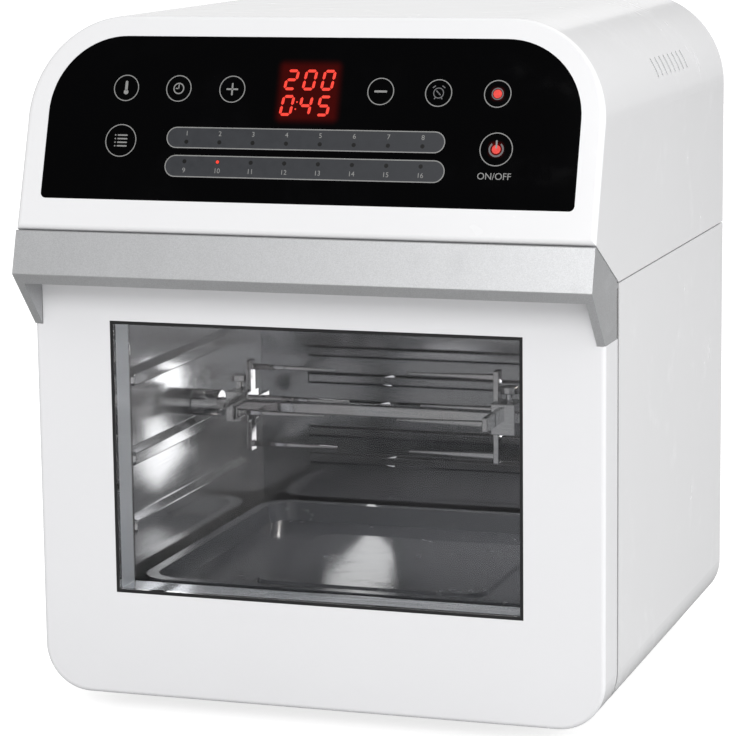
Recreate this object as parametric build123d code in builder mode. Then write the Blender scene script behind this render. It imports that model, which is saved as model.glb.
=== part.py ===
from build123d import *
from math import atan2, cos, hypot, radians, sin, sqrt, tan
import os

os.makedirs("parts", exist_ok=True)

# A countertop air-fryer oven with a drop-down door, in millimetres, standing on the table at Z = 0.
# X runs to the right, depth runs from the door's face towards the back, and height is measured
# from the underside of the casing, which stands on the feet.

# Casing
BODY_W = 320.0
BODY_H = 373.0
BODY_D = 296.0
WALL = 2.5
LOWER_R = 26.0
SHOULDER_R = 53.5
EDGE_R = 2.5
SEAM_DROP = 25.5
SEAM_GAP = 0.8
SEAM_LIP = 4.0
SNUG = 0.1
FIT = 0.25

# Feet
FOOT_H = 10.0
FOOT_R = 12.0
FOOT_INSET_X = 36.0
FOOT_FRONT_D = 58.0
FOOT_REAR_GAP = 34.0
FOOT_WAIST = 0.85
FOOT_FLARE = 9.0

# Door
DOOR_T = 28.5
DOOR_GAP = 1.5
DOOR_PLATE_T = 1.5
DOOR_PLATE_DROP = 28.2
DOOR_SKIN = 3.0
WINDOW_INSET = 44.0
WINDOW_LOW_H = 58.2
WINDOW_DROP = 51.2
TRIM_W = 1.8
GLASS_T = 3.4
GLASS_RECESS = 0.3
REVEAL_WALL = 1.2
INNER_GLASS_T = 4.0
INNER_GLASS_LAP = 7.0
GLASS_LIP = 1.2
DOOR_CLEAR = 0.2

# Grip along the door's top edge
GRIP_TOP_REACH = 21.0
GRIP_DROP = 112.3
GRIP_NOSE_REACH = 28.0
GRIP_FACE_H = 23.2
GRIP_WALL = 3.0
GRIP_STRIP = 8.0
GRIP_RIM = 2.5
GRIP_EDGE_R = 0.75
CHEEK_T = 4.5
CHEEK_H = 54.2
CHEEK_REAR_D = 24.8
LIP_ANGLE = 27.4
LIP_GAP = 1.0
GRIP_SCREW_INSETS = (24.0, 112.0)
GRIP_SCREW_D = 12.0

# Slanted control panel
PANEL_LEAN = 18.05
FASCIA_INSET = 12.5
FASCIA_RISE = 16.6
FASCIA_H = 89.3
FASCIA_TOP_R = 42.0
FASCIA_LOW_R = 3.0
FASCIA_T = 2.2
LEDGE_T = 2.5
LEDGE_W = 6.0

# Shoulder vents
VENT_COUNT = 8
VENT_PITCH = 10.5
VENT_FIRST_D = 129.0
VENT_DROP = 33.0
VENT_L = 11.0
VENT_GAP = 2.2
VENT_TILT = 18.0

# Door hinge
HINGE_D = 14.0
HINGE_H = 20.0
PIN_R = 3.0
PIN_PLAY = 0.05
PIN_L = 21.0
EAR_T = 3.0
EAR_R = 6.5
EAR_PLAY = 1.0
BLOCK_W = 24.0
BLOCK_TOP_H = 34.0
BRACKET_D = 46.0
BRACKET_L = 30.0
BRACKET_W = 20.0

# Cooking cavity
CAV_INSET = 34.0
CAV_FLOOR_H = 45.0
CAV_HEADROOM = 135.0
CAV_REAR_GAP = 34.0
SHEET = 1.0
FRAME_T = 1.5
FRAME_GAP = 0.5
FRAME_LOW_H = 39.0
FRAME_DROP = 111.0
MOUTH_DROP = 16.0
MOUTH_R = 8.0
SEAL_W = 6.0
SEAL_GAP = 0.3
SEAL_INSET = 1.0
RAIL_SHARES = (0.207254, 0.409326, 0.642487)
RAIL_FRONT_D = 42.0
RAIL_L = 184.0
RAIL_W = 11.0
RAIL_OUT = 5.0
RAIL_TAPER = 25.0
RAIL_CORNER = 3.0
RAIL_BACK_CORNER = 2.4
RIB_COUNT = 5
RIB_PITCH = 17.0
RIB_LOW_H = 84.0
RIB_INSET = 31.0
RIB_W = 7.0
RIB_OUT = 2.5

# Drip tray
TRAY_GAP = 0.3
TRAY_MARGIN_X = 6.0
TRAY_FRONT_GAP = 6.0
TRAY_REAR_GAP = 7.0
TRAY_H = 12.0
TRAY_T = 1.0
TRAY_R = 14.0
TRAY_LIP = 5.0
TRAY_DRAFT = 12.0
PANEL_SHARE = 0.62
PANEL_BOSS_H = 2.2
PANEL_BOSS_TAPER = 30.0

# Hot-air fan, duct and heating element
DUCT_R = 93.0
DUCT_FLANGE = 9.0
DUCT_H = 41.0
DUCT_T = 1.2
DUCT_LAP = 2.0
DUCT_HUB_GAP = 1.0
GUARD_T = 1.0
GUARD_SLOTS = 24
GUARD_SLOT_L = 34.0
GUARD_SLOT_W = 5.0
GUARD_SLOT_R = 62.0
GUARD_INNER_SLOTS = 12
GUARD_INNER_L = 18.0
GUARD_INNER_R = 27.0
ELEMENT_R = 3.25
ELEMENT_RING_R = 76.0
ELEMENT_RISE = 12.0
ELEMENT_BEND_R = 12.0
ELEMENT_SWEEP = 306.0
ELEMENT_TAIL = 12.0
TUBE_SIDES = 12
PATH_STEPS = 400
PATH_SKIP = 5
FAN_R = 57.0
FAN_BLADES = 8
BLADE_L = 30.0
BLADE_H = 15.0
BLADE_T = 1.2
BLADE_TURN = 28.0
BLADE_INSET = 1.0
HUB_SIDES = 12
DISC_T = 1.2
FAN_DISC_RISE = 31.0
HUB_R = 8.0
SHAFT_R = 3.0
SHAFT_PLAY = 0.05
SHAFT_PROUD = 2.0
NUT_AF = 10.0
NUT_T = 5.0
COOL_R = 42.0
COOL_BLADES = 6
COOL_H = 10.0
COOL_GAP = 4.0

# Fan motor
BRACKET_LEG_X = 50.0
BRACKET_T = 1.5
BRACKET_DEPTH = 46.0
BRACKET_TOE = 12.0
STACK_W = 60.0
STACK_D = 64.0
STACK_T = 22.0
STACK_BORE_R = 13.0
STACK_BACK = 2.0
COIL_BACK = 1.0
ROTOR_GAP = 0.5
COIL_T = 9.0
BRIDGE_T = 2.5
BRIDGE_W = 14.0
BOSS_R = 7.5
BOSS_H = 4.0

# Boards
BOARD_T = 1.6
BOARD_INSET = 29.5
BOARD_H = 58.0
BOARD_BACK = 11.0
DIGITS_W = 34.0
DIGITS_H = 30.0
DIGITS_V = 61.0
TOUCH_V = 62.0
TOUCH_LEFT_INSETS = (44.5, 74.5, 104.5)
TOUCH_RIGHT_INSETS = (107.5, 76.5, 44.5)
POWER_H = 66.0
POWER_RISE = 24.0
POWER_POST = 10.0
POST_W = 6.0
PARTS_T = 14.0
TRANSFORMER_W = 30.0
TRANSFORMER_H = 26.0
RELAY_W = 19.0
RELAY_H = 15.0
RELAY_X = 8.0
RELAY_UP = 14.0
FILTER_W = 22.0
FILTER_H = 18.0
FILTER_DOWN = 8.0

# Rotisserie
SPIT_D = 148.0
SPIT_RISE = 14.0
SPIT_W = 6.0
SPIT_PLAY = 0.15
JOURNAL_L = 16.0
SOCKET_R = 8.0
SOCKET_L = 13.0
SOCKET_BASE = 4.0
SOCKET_SHAFT_R = 4.0
SOCKET_HOLE_GAP = 1.0
SOCKET_ROOT = 2.0
SPIT_SEAT = 1.5
SPIT_END_GAP = 0.5
SPIT_PROUD = 4.0
GEARBOX_W = 58.0
GEARBOX_H = 44.0
GEARBOX_T = 20.0
GEARBOX_GAP = 3.0
GEARBOX_R = 5.0
GEARBOX_POST_INSET = 6.0
CRADLE_REACH = 9.0
CRADLE_W = 30.0
CRADLE_RISE = 10.0
CRADLE_GAP = 0.5
CRADLE_T = 1.5
FORK_HUB_L = 14.0
FORK_HUB_W = 18.0
FORK_ARM_T = 3.0
FORK_SPAN = 46.0
FORK_ARM_W = 8.0
TINE_R = 1.6
TINE_L = 52.0
TINE_TAPER = 1.2
FORK_GAP = 6.0
RIGHT_FORK_GAP = 44.0
SCREW_R = 2.0
SCREW_HEAD_R = 5.0
SCREW_HEAD_T = 4.0
SCREW_HEAD_SIDES = 10
SCREW_STAND = 5.0

# Lamp, probe and cutout
LAMP_REAR_GAP = 48.0
LAMP_DROP = 33.0
LAMP_R = 16.0
LENS_T = 3.0
LENS_TAPER = 30.0
LENS_LAP = 2.0
HOLDER_T = 22.0
HOLDER_W = 40.0
HOLDER_R = 4.0
HOLDER_WALL = 4.0
BULB_BASE_W = 12.0
BULB_BASE_H = 8.0
BULB_BASE_T = 6.0
BULB_R = 5.5
BULB_L = 10.0
PROBE_R = 2.5
PROBE_INSET = 34.0
PROBE_DROP = 22.0
PROBE_L = 34.0
PROBE_TAIL = 8.0
PROBE_NUT_AF = 12.0
PROBE_NUT_T = 4.0
CUTOUT_W = 18.0
CUTOUT_T = 6.0
CUTOUT_EAR = 6.0
CUTOUT_EAR_T = 1.0
CUTOUT_EAR_R = 3.0
CUTOUT_SHARE = 0.62

# Catches and door switch
CATCH_INSET = 18.0
CATCH_DROP = 8.0
CATCH_W = 5.0
CATCH_TALL = 8.0
CATCH_L = 9.0
CATCH_TIP = 3.0
CATCH_PLAY = 2.0
STRIKE_T = 15.0
STRIKE_WALL = 3.0
SWITCH_H = 150.0
SWITCH_D = 15.0
SWITCH_TALL = 22.0
PLUNGER_W = 4.0
PLUNGER_PLAY = 0.2
PLUNGER_L = 12.0
PLUNGER_HOLE_GAP = 1.0

# Rear cover
REAR_T = 2.0
REAR_INSET = 30.0
REAR_MID_GAP = 10.0
GRILLE_DROP = 73.0
GRILLE_TALL = 56.0
GRILLE_SLATS = 7
GRILLE_RIM = 3.0
SLAT_T = 1.6
GLAND_INSET = 48.0
GLAND_H = 34.0
GLAND_R = 8.0
GLAND_FLANGE_R = 11.0
GLAND_PROUD = 3.0
GLAND_BORE_R = 3.6
GLAND_TAPER = 15.0
SIDE_SCREW_INSET = 18.0
LOW_SCREW_H = 60.0
MID_SCREW_DROP = 45.2
TOP_SCREW_INSET = 60.0
TOP_SCREW_DROP = 14.0
HEX_AF = 7.0
HEX_T = 2.0
SHANK_AF = 3.6
SHANK_L = 6.0
SHANK_PLAY = 0.15

# Places worked out from the sizes above
HALF_W = BODY_W / 2
GRIP_TOP_H = BODY_H - GRIP_DROP
GRIP_NOSE_H = GRIP_TOP_H - GRIP_FACE_H
CHEEK_LOW_H = GRIP_TOP_H - CHEEK_H
SEAM_H = GRIP_TOP_H - SEAM_DROP
WINDOW_W = BODY_W - 2 * WINDOW_INSET
WINDOW_TOP_H = GRIP_TOP_H - WINDOW_DROP
DOOR_PLATE_TOP_H = GRIP_TOP_H - DOOR_PLATE_DROP
FASCIA_W = BODY_W - 2 * FASCIA_INSET
VENT_H = BODY_H - VENT_DROP
FOOT_REAR_D = BODY_D - FOOT_REAR_GAP
CASE_FRONT_D = DOOR_T + DOOR_GAP
REAR_REACH = BODY_D + GLAND_PROUD
FACE_Y = (GRIP_NOSE_REACH - REAR_REACH) / 2
FRAME_D = CASE_FRONT_D + FRAME_GAP
FRAME_TOP_H = BODY_H - FRAME_DROP
CAV_FRONT_D = FRAME_D + FRAME_T
CAV_REAR_D = BODY_D - CAV_REAR_GAP
CAV_CEIL_H = BODY_H - CAV_HEADROOM
MOUTH_TOP_H = CAV_CEIL_H - MOUTH_DROP
CAV_W = BODY_W - 2 * CAV_INSET
HALF_CAV = CAV_W / 2
RAIL_HEIGHTS = [CAV_FLOOR_H + share * (CAV_CEIL_H - CAV_FLOOR_H) for share in RAIL_SHARES]
RIB_L = CAV_W - 2 * RIB_INSET
FAN_D = (CAV_FRONT_D + CAV_REAR_D) / 2
SPIT_H = RAIL_HEIGHTS[1] + SPIT_RISE
LAMP_D = CAV_REAR_D - LAMP_REAR_GAP
LAMP_H = CAV_CEIL_H - LAMP_DROP
PROBE_X = PROBE_INSET - HALF_CAV
PROBE_H = CAV_CEIL_H - PROBE_DROP
CATCH_X = HALF_W - CATCH_INSET
CATCH_H = MOUTH_TOP_H - CATCH_DROP
REAR_SPAN = HALF_W - REAR_INSET - REAR_MID_GAP
GRILLE_X = -REAR_MID_GAP - REAR_SPAN / 2
GRILLE_H = BODY_H - GRILLE_DROP
POWER_X = REAR_MID_GAP + REAR_SPAN / 2
POWER_LOW_H = CAV_CEIL_H + POWER_RISE
GLAND_X = HALF_W - GLAND_INSET
BOARD_W = FASCIA_W - 2 * BOARD_INSET
TOUCH_X = [inset - FASCIA_W / 2 for inset in TOUCH_LEFT_INSETS]
TOUCH_X += [FASCIA_W / 2 - inset for inset in TOUCH_RIGHT_INSETS]
HOOD_FRONT_H = GRIP_TOP_H + LIP_GAP / cos(radians(LIP_ANGLE))
HOOD_LOW_H = SEAM_H + SEAM_GAP
LIP_RUN = (HOOD_FRONT_H - HOOD_LOW_H) / tan(radians(LIP_ANGLE))
LIP_REAR_D = LIP_RUN - GRIP_TOP_REACH
PANEL_RUN = (BODY_H - HOOD_FRONT_H) * tan(radians(PANEL_LEAN))
HINGE_X = HALF_W - LOWER_R - BLOCK_W / 2 - 2 * SNUG
SWING_CLEAR = hypot(DOOR_T - HINGE_D, HINGE_H) + FIT
TOE_D = HINGE_D + SWING_CLEAR + SNUG
DUCT_TOP_H = CAV_CEIL_H + SHEET + DUCT_H


def front_plane(depth):
    """Upright plane across the oven, drawn in X and height; minus amounts go backwards."""
    return Plane(origin=(0, FACE_Y + depth, FOOT_H), x_dir=(1, 0, 0), z_dir=(0, -1, 0))


def side_plane(x):
    """Upright plane along the oven, drawn in depth and height; amounts go to the right."""
    return Plane(origin=(x, FACE_Y, FOOT_H), x_dir=(0, 1, 0), z_dir=(1, 0, 0))


def level_plane(height):
    """Level plane, drawn in X and depth; amounts go up."""
    return Plane(origin=(0, FACE_Y, FOOT_H + height), x_dir=(1, 0, 0), z_dir=(0, 0, 1))


def fan_plane(height):
    """Level plane centred on the fan's axis."""
    return Plane(origin=(0, FACE_Y + FAN_D, FOOT_H + height), x_dir=(1, 0, 0), z_dir=(0, 0, 1))


def spit_plane(x):
    """Upright plane square to the spit and centred on its axis."""
    return Plane(origin=(x, FACE_Y + SPIT_D, FOOT_H + SPIT_H), x_dir=(0, 1, 0), z_dir=(1, 0, 0))


def panel_plane(out):
    """Plane of the slanted panel, out in front of it, with its origin on the panel's lower edge."""
    lean = radians(PANEL_LEAN)
    base = Plane(
        origin=(0, FACE_Y - GRIP_TOP_REACH, FOOT_H + HOOD_FRONT_H),
        x_dir=(1, 0, 0),
        z_dir=(0, -cos(lean), sin(lean)),
    )
    return base.offset(out)


def lip_height(depth, drop):
    """Height of the slanting line along the grip's top, a drop square below it."""
    slope = radians(LIP_ANGLE)
    return GRIP_TOP_H - (depth + GRIP_TOP_REACH) * tan(slope) - drop / cos(slope)


def tub_face(width, low, high, radius, mode=Mode.ADD):
    """Upright face with its two lower corners rounded."""
    half = width / 2
    with BuildLine() as outline:
        FilletPolyline((-half, high), (-half, low), (half, low), (half, high), radius=radius)
        Line((half, high), (-half, high))
    make_face(outline.edges(), mode=mode)


def arch_face(width, low, high, radius, mode=Mode.ADD):
    """Upright face with its two upper corners rounded."""
    half = width / 2
    with BuildLine() as outline:
        FilletPolyline((-half, low), (-half, high), (half, high), (half, low), radius=radius)
        Line((half, low), (-half, low))
    make_face(outline.edges(), mode=mode)


def span_face(left, right, low, high, mode=Mode.ADD):
    """Plain rectangle between two sides and two ends."""
    with Locations(((left + right) / 2, (low + high) / 2)):
        Rectangle(right - left, high - low, mode=mode)


def ring_face(half_w, low, high, width, radius):
    """Upright ring outside an opening with rounded corners."""
    with Locations((0, (low + high) / 2)):
        RectangleRounded(2 * (half_w + width), high - low + 2 * width, radius + width)
        RectangleRounded(2 * half_w, high - low, radius, mode=Mode.SUBTRACT)


def write(part, name):
    """Label a finished piece and write it as its own STEP file."""
    part.label = name
    export_step(part, f"parts/{name}.step")


# Hood: top, shoulders and slanted control panel in one moulding

HOOD_SIDE = (
    (-GRIP_TOP_REACH, HOOD_FRONT_H),
    (LIP_REAR_D, HOOD_LOW_H),
    (BODY_D, HOOD_LOW_H),
    (BODY_D, BODY_H),
    (PANEL_RUN - GRIP_TOP_REACH, BODY_H),
)


def hood_form(inset):
    """The hood's solid outer form, or the same form drawn in by a wall."""
    with BuildPart() as form:
        with BuildSketch(side_plane(inset - HALF_W)):
            with BuildLine() as outline:
                Polyline(*HOOD_SIDE, close=True)
            make_face(outline.edges())
            if inset > 0:
                offset(amount=-inset, kind=Kind.INTERSECTION)
        extrude(amount=BODY_W - 2 * inset)
        with BuildSketch(front_plane(-GRIP_NOSE_REACH)):
            arch_face(BODY_W - 2 * inset, 0, BODY_H - inset, SHOULDER_R - inset)
        extrude(amount=-(BODY_D + GRIP_NOSE_REACH), mode=Mode.INTERSECT)
    return form.part


def fascia_face(grow, mode=Mode.ADD):
    """Outline of the glass fascia on the slanted panel, grown or drawn in on every side."""
    half = FASCIA_W / 2 + grow
    low = FASCIA_RISE - grow
    high = FASCIA_RISE + FASCIA_H + grow
    with BuildLine() as outline:
        FilletPolyline(
            (-half, low),
            (-half, high),
            (half, high),
            (half, low),
            radius=(FASCIA_LOW_R, FASCIA_TOP_R + grow, FASCIA_TOP_R + grow, FASCIA_LOW_R),
            close=True,
        )
    make_face(outline.edges(), mode=mode)


BOARD_LOW_V = FASCIA_RISE + LEDGE_W + POST_W

with BuildPart() as upper_housing:
    add(hood_form(0))
    rim = faces().filter_by(panel_plane(0)).edges()
    fillet(rim, EDGE_R)
    add(hood_form(WALL), mode=Mode.SUBTRACT)
    with BuildSketch(level_plane(HOOD_LOW_H)):
        span_face(WALL - HALF_W, HALF_W - WALL, FRAME_D - FIT, BODY_D)
    extrude(amount=WALL, mode=Mode.SUBTRACT)
    with BuildSketch(front_plane(BODY_D - WALL)):
        arch_face(BODY_W - 2 * WALL, HOOD_LOW_H, BODY_H - WALL, SHOULDER_R - WALL)
    extrude(amount=-WALL, mode=Mode.SUBTRACT)
    with BuildSketch(panel_plane(0)):
        fascia_face(SNUG)
    extrude(amount=-WALL * 2, mode=Mode.SUBTRACT)
    with BuildSketch(panel_plane(-FASCIA_T)):
        fascia_face(LEDGE_W / 2)
        fascia_face(-LEDGE_W, mode=Mode.SUBTRACT)
    extrude(amount=-LEDGE_T)
    with BuildSketch(side_plane(0)):
        for slot in range(VENT_COUNT):
            with Locations((VENT_FIRST_D + slot * VENT_PITCH, VENT_H)):
                Rectangle(VENT_GAP, VENT_L, rotation=VENT_TILT)
    extrude(amount=HALF_W, both=True, mode=Mode.SUBTRACT)

with BuildPart() as lower_housing:
    with BuildSketch(front_plane(CASE_FRONT_D)):
        tub_face(BODY_W, 0, SEAM_H, LOWER_R)
        tub_face(BODY_W - 2 * WALL, WALL, SEAM_H, LOWER_R - WALL, mode=Mode.SUBTRACT)
    extrude(amount=-(BODY_D - CASE_FRONT_D))
    with BuildSketch(front_plane(LIP_REAR_D + 2 * WALL)):
        for side in (-1, 1):
            edge = side * (HALF_W - WALL)
            with Locations((edge - side * (FIT + WALL / 4), SEAM_H)):
                Rectangle(WALL / 2, 2 * SEAM_LIP)
            with Locations((edge - side * WALL / 4, SEAM_H - 3 * SEAM_LIP / 4)):
                Rectangle(WALL / 2 + FIT, SEAM_LIP / 2)
    extrude(amount=-(BODY_D - LIP_REAR_D - 4 * WALL))
    with BuildSketch(side_plane(WALL - HALF_W)):
        with Locations((HINGE_D, HINGE_H)):
            Circle(SWING_CLEAR)
    extrude(amount=BODY_W - 2 * WALL, mode=Mode.SUBTRACT)
    with BuildSketch(front_plane(TOE_D)):
        tub_face(BODY_W - WALL, WALL / 2, CAV_FLOOR_H - SHEET - FIT, LOWER_R - WALL / 2)
    extrude(amount=-WALL)
    with BuildSketch(front_plane(TOE_D)):
        for side in (-1, 1):
            with Locations((side * HINGE_X, HINGE_H)):
                Rectangle(EAR_T + 2 * EAR_PLAY, 2 * (EAR_R + EAR_PLAY))
    extrude(amount=-WALL, mode=Mode.SUBTRACT)

with BuildPart() as fascia_glass:
    with BuildSketch(panel_plane(-FASCIA_T)):
        fascia_face(0)
    extrude(amount=FASCIA_T)

with BuildPart() as rubber_feet:
    with BuildSketch(Plane.XY):
        for side in (-1, 1):
            for depth in (FOOT_FRONT_D, FOOT_REAR_D):
                with Locations((side * (HALF_W - FOOT_INSET_X), FACE_Y + depth)):
                    Circle(FOOT_R * FOOT_WAIST)
    extrude(amount=FOOT_H, taper=-FOOT_FLARE)

# Rear cover with its grille, gland and screws

SCREW_PLACES = (
    (SIDE_SCREW_INSET - HALF_W, LOW_SCREW_H),
    (HALF_W - SIDE_SCREW_INSET, LOW_SCREW_H),
    (SIDE_SCREW_INSET - HALF_W, SEAM_H - MID_SCREW_DROP),
    (HALF_W - SIDE_SCREW_INSET, SEAM_H - MID_SCREW_DROP),
    (TOP_SCREW_INSET - HALF_W, BODY_H - TOP_SCREW_DROP),
    (HALF_W - TOP_SCREW_INSET, BODY_H - TOP_SCREW_DROP),
)
COVER_D = BODY_D - REAR_T
POWER_D = COVER_D - POWER_POST - BOARD_T
POWER_MID_H = POWER_LOW_H + POWER_H / 2

with BuildPart() as rear_cover:
    with BuildSketch(front_plane(COVER_D)):
        tub_face(BODY_W - 2 * WALL - 2 * FIT, WALL + FIT, HOOD_LOW_H, LOWER_R - WALL - FIT)
        arch_face(
            BODY_W - 2 * WALL - 2 * FIT, HOOD_LOW_H - WALL, BODY_H - WALL - FIT, SHOULDER_R - WALL - FIT
        )
        with Locations((GRILLE_X, GRILLE_H)):
            Rectangle(REAR_SPAN, GRILLE_TALL, mode=Mode.SUBTRACT)
        with Locations((GLAND_X, GLAND_H)):
            Circle(GLAND_R + SNUG, mode=Mode.SUBTRACT)
        with Locations(*SCREW_PLACES):
            RegularPolygon(SHANK_AF / 2 + SHANK_PLAY, 6, major_radius=False, mode=Mode.SUBTRACT)
    extrude(amount=-REAR_T)
    with BuildSketch(front_plane(COVER_D)):
        with Locations((POWER_X, POWER_MID_H)):
            with GridLocations(REAR_SPAN - 2 * POST_W, POWER_H - 2 * POST_W, 2, 2):
                Rectangle(POST_W, POST_W)
    extrude(amount=POWER_POST)

with BuildPart() as rear_vent_grille:
    with BuildSketch(front_plane(COVER_D)):
        with Locations((GRILLE_X, GRILLE_H)):
            Rectangle(REAR_SPAN - 2 * SNUG, GRILLE_TALL - 2 * SNUG)
            Rectangle(REAR_SPAN - 2 * GRILLE_RIM, GRILLE_TALL - 2 * GRILLE_RIM, mode=Mode.SUBTRACT)
            with GridLocations(0, (GRILLE_TALL - GRILLE_RIM) / (GRILLE_SLATS + 1), 1, GRILLE_SLATS):
                Rectangle(REAR_SPAN - GRILLE_RIM, SLAT_T)
    extrude(amount=-REAR_T)
    with BuildSketch(front_plane(COVER_D)):
        with Locations((GRILLE_X, GRILLE_H)):
            Rectangle(REAR_SPAN + 2 * GRILLE_RIM, GRILLE_TALL + 2 * GRILLE_RIM)
            Rectangle(REAR_SPAN - 2 * GRILLE_RIM, GRILLE_TALL - 2 * GRILLE_RIM, mode=Mode.SUBTRACT)
    extrude(amount=SLAT_T)

with BuildPart() as cord_gland:
    with BuildSketch(front_plane(COVER_D - GLAND_PROUD)):
        with Locations((GLAND_X, GLAND_H)):
            Circle(GLAND_R)
    extrude(amount=-(REAR_T + GLAND_PROUD))
    with BuildSketch(front_plane(BODY_D)):
        with Locations((GLAND_X, GLAND_H)):
            Circle(GLAND_FLANGE_R)
    extrude(amount=-GLAND_PROUD, taper=GLAND_TAPER)
    with BuildSketch(front_plane(COVER_D - GLAND_PROUD)):
        with Locations((GLAND_X, GLAND_H)):
            Circle(GLAND_BORE_R)
    extrude(amount=-(REAR_T + 2 * GLAND_PROUD), mode=Mode.SUBTRACT)

with BuildPart() as case_screws:
    with BuildSketch(front_plane(BODY_D)):
        with Locations(*SCREW_PLACES):
            RegularPolygon(HEX_AF / 2, 6, major_radius=False)
    extrude(amount=-HEX_T)
    with BuildSketch(front_plane(BODY_D)):
        with Locations(*SCREW_PLACES):
            RegularPolygon(SHANK_AF / 2, 6, major_radius=False)
    extrude(amount=SHANK_L)

# Cooking cavity, in separate pressed sheets

RAIL_MID_D = RAIL_FRONT_D + RAIL_L / 2
LENS_HOLE_R = LAMP_R - LENS_LAP

with BuildPart() as front_frame:
    with BuildSketch(front_plane(FRAME_D)):
        span_face(WALL + FIT - HALF_W, HALF_W - WALL - FIT, FRAME_LOW_H, FRAME_TOP_H)
        with Locations((0, (CAV_FLOOR_H + MOUTH_TOP_H) / 2)):
            RectangleRounded(CAV_W, MOUTH_TOP_H - CAV_FLOOR_H, MOUTH_R, mode=Mode.SUBTRACT)
        for side in (-1, 1):
            with Locations((side * CATCH_X, CATCH_H)):
                Rectangle(CATCH_W + CATCH_PLAY, CATCH_TALL + 2 * CATCH_PLAY, mode=Mode.SUBTRACT)
        with Locations((-CATCH_X, SWITCH_H)):
            Rectangle(PLUNGER_W + 2 * PLUNGER_HOLE_GAP, PLUNGER_W + 2 * PLUNGER_HOLE_GAP, mode=Mode.SUBTRACT)
    extrude(amount=-FRAME_T)

with BuildPart() as cavity_floor:
    with BuildSketch(level_plane(CAV_FLOOR_H - SHEET)):
        span_face(-HALF_CAV - SHEET, HALF_CAV + SHEET, CAV_FRONT_D, CAV_REAR_D + SHEET)
    extrude(amount=SHEET)

for side, wall_name in ((-1, "cavity_left_wall"), (1, "cavity_right_wall")):
    with BuildPart() as cavity_wall:
        with BuildSketch(side_plane(-HALF_CAV - SHEET)):
            span_face(CAV_FRONT_D, CAV_REAR_D + SHEET, CAV_FLOOR_H, CAV_CEIL_H)
        extrude(amount=SHEET)
        with BuildSketch(side_plane(-HALF_CAV)):
            for rail_h in RAIL_HEIGHTS:
                with Locations((RAIL_MID_D, rail_h)):
                    Rectangle(RAIL_L, RAIL_W)
            chamfer(vertices(), RAIL_CORNER)
        extrude(amount=RAIL_OUT, taper=RAIL_TAPER)
        with BuildSketch(side_plane(-HALF_CAV - SHEET)):
            for rail_h in RAIL_HEIGHTS:
                with Locations((RAIL_MID_D, rail_h)):
                    Rectangle(RAIL_L - 2 * SHEET, RAIL_W - 2 * SHEET)
            chamfer(vertices(), RAIL_BACK_CORNER)
        extrude(amount=RAIL_OUT, taper=RAIL_TAPER, mode=Mode.SUBTRACT)
        hole_at = (SPIT_D, SPIT_H) if side < 0 else (LAMP_D, LAMP_H)
        hole_r = SOCKET_SHAFT_R + SOCKET_HOLE_GAP if side < 0 else LENS_HOLE_R
        with BuildSketch(side_plane(-HALF_CAV - SHEET)):
            with Locations(hole_at):
                Circle(hole_r)
        extrude(amount=SHEET, mode=Mode.SUBTRACT)
        if side > 0:
            mirror(about=Plane.YZ, mode=Mode.REPLACE)
    write(cavity_wall.part, wall_name)

with BuildPart() as cavity_rear_wall:
    with BuildSketch(front_plane(CAV_REAR_D)):
        span_face(-HALF_CAV, HALF_CAV, CAV_FLOOR_H, CAV_CEIL_H)
    extrude(amount=-SHEET)
    with BuildSketch(front_plane(CAV_REAR_D)):
        for rib in range(RIB_COUNT):
            with Locations((0, RIB_LOW_H + rib * RIB_PITCH)):
                Rectangle(RIB_L, RIB_W)
    extrude(amount=RIB_OUT, taper=RAIL_TAPER)
    with BuildSketch(front_plane(CAV_REAR_D + SHEET)):
        for rib in range(RIB_COUNT):
            with Locations((0, RIB_LOW_H + rib * RIB_PITCH)):
                Rectangle(RIB_L - SHEET, RIB_W - SHEET)
    extrude(amount=RIB_OUT, taper=RAIL_TAPER, mode=Mode.SUBTRACT)
    with BuildSketch(front_plane(CAV_REAR_D)):
        with Locations((PROBE_X, PROBE_H)):
            Circle(PROBE_R + SNUG)
    extrude(amount=-SHEET, mode=Mode.SUBTRACT)

with BuildPart() as cavity_ceiling:
    with BuildSketch(level_plane(CAV_CEIL_H)):
        span_face(-HALF_CAV - SHEET, HALF_CAV + SHEET, CAV_FRONT_D, CAV_REAR_D + SHEET)
        with Locations((0, FAN_D)):
            Circle(DUCT_R - DUCT_LAP, mode=Mode.SUBTRACT)
    extrude(amount=SHEET)

with BuildPart() as door_seal:
    with BuildSketch(front_plane(DOOR_T + SEAL_GAP)):
        ring_face(HALF_CAV + SEAL_INSET, CAV_FLOOR_H + SEAL_INSET, MOUTH_TOP_H, SEAL_W, MOUTH_R)
    extrude(amount=-(FRAME_D - DOOR_T - SEAL_GAP))

# Drip tray: a drawn dish with a rim and a raised panel in its floor

TRAY_W = CAV_W - 2 * TRAY_MARGIN_X
TRAY_FRONT = CAV_FRONT_D + TRAY_FRONT_GAP
TRAY_L = CAV_REAR_D - TRAY_REAR_GAP - TRAY_FRONT
TRAY_MID_D = TRAY_FRONT + TRAY_L / 2
TRAY_LOW_H = CAV_FLOOR_H + TRAY_GAP
DRAFT_RUN = TRAY_H * tan(radians(TRAY_DRAFT))
WELL_W = TRAY_W - 2 * TRAY_LIP - 2 * DRAFT_RUN
WELL_L = TRAY_L - 2 * TRAY_LIP - 2 * DRAFT_RUN

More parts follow.
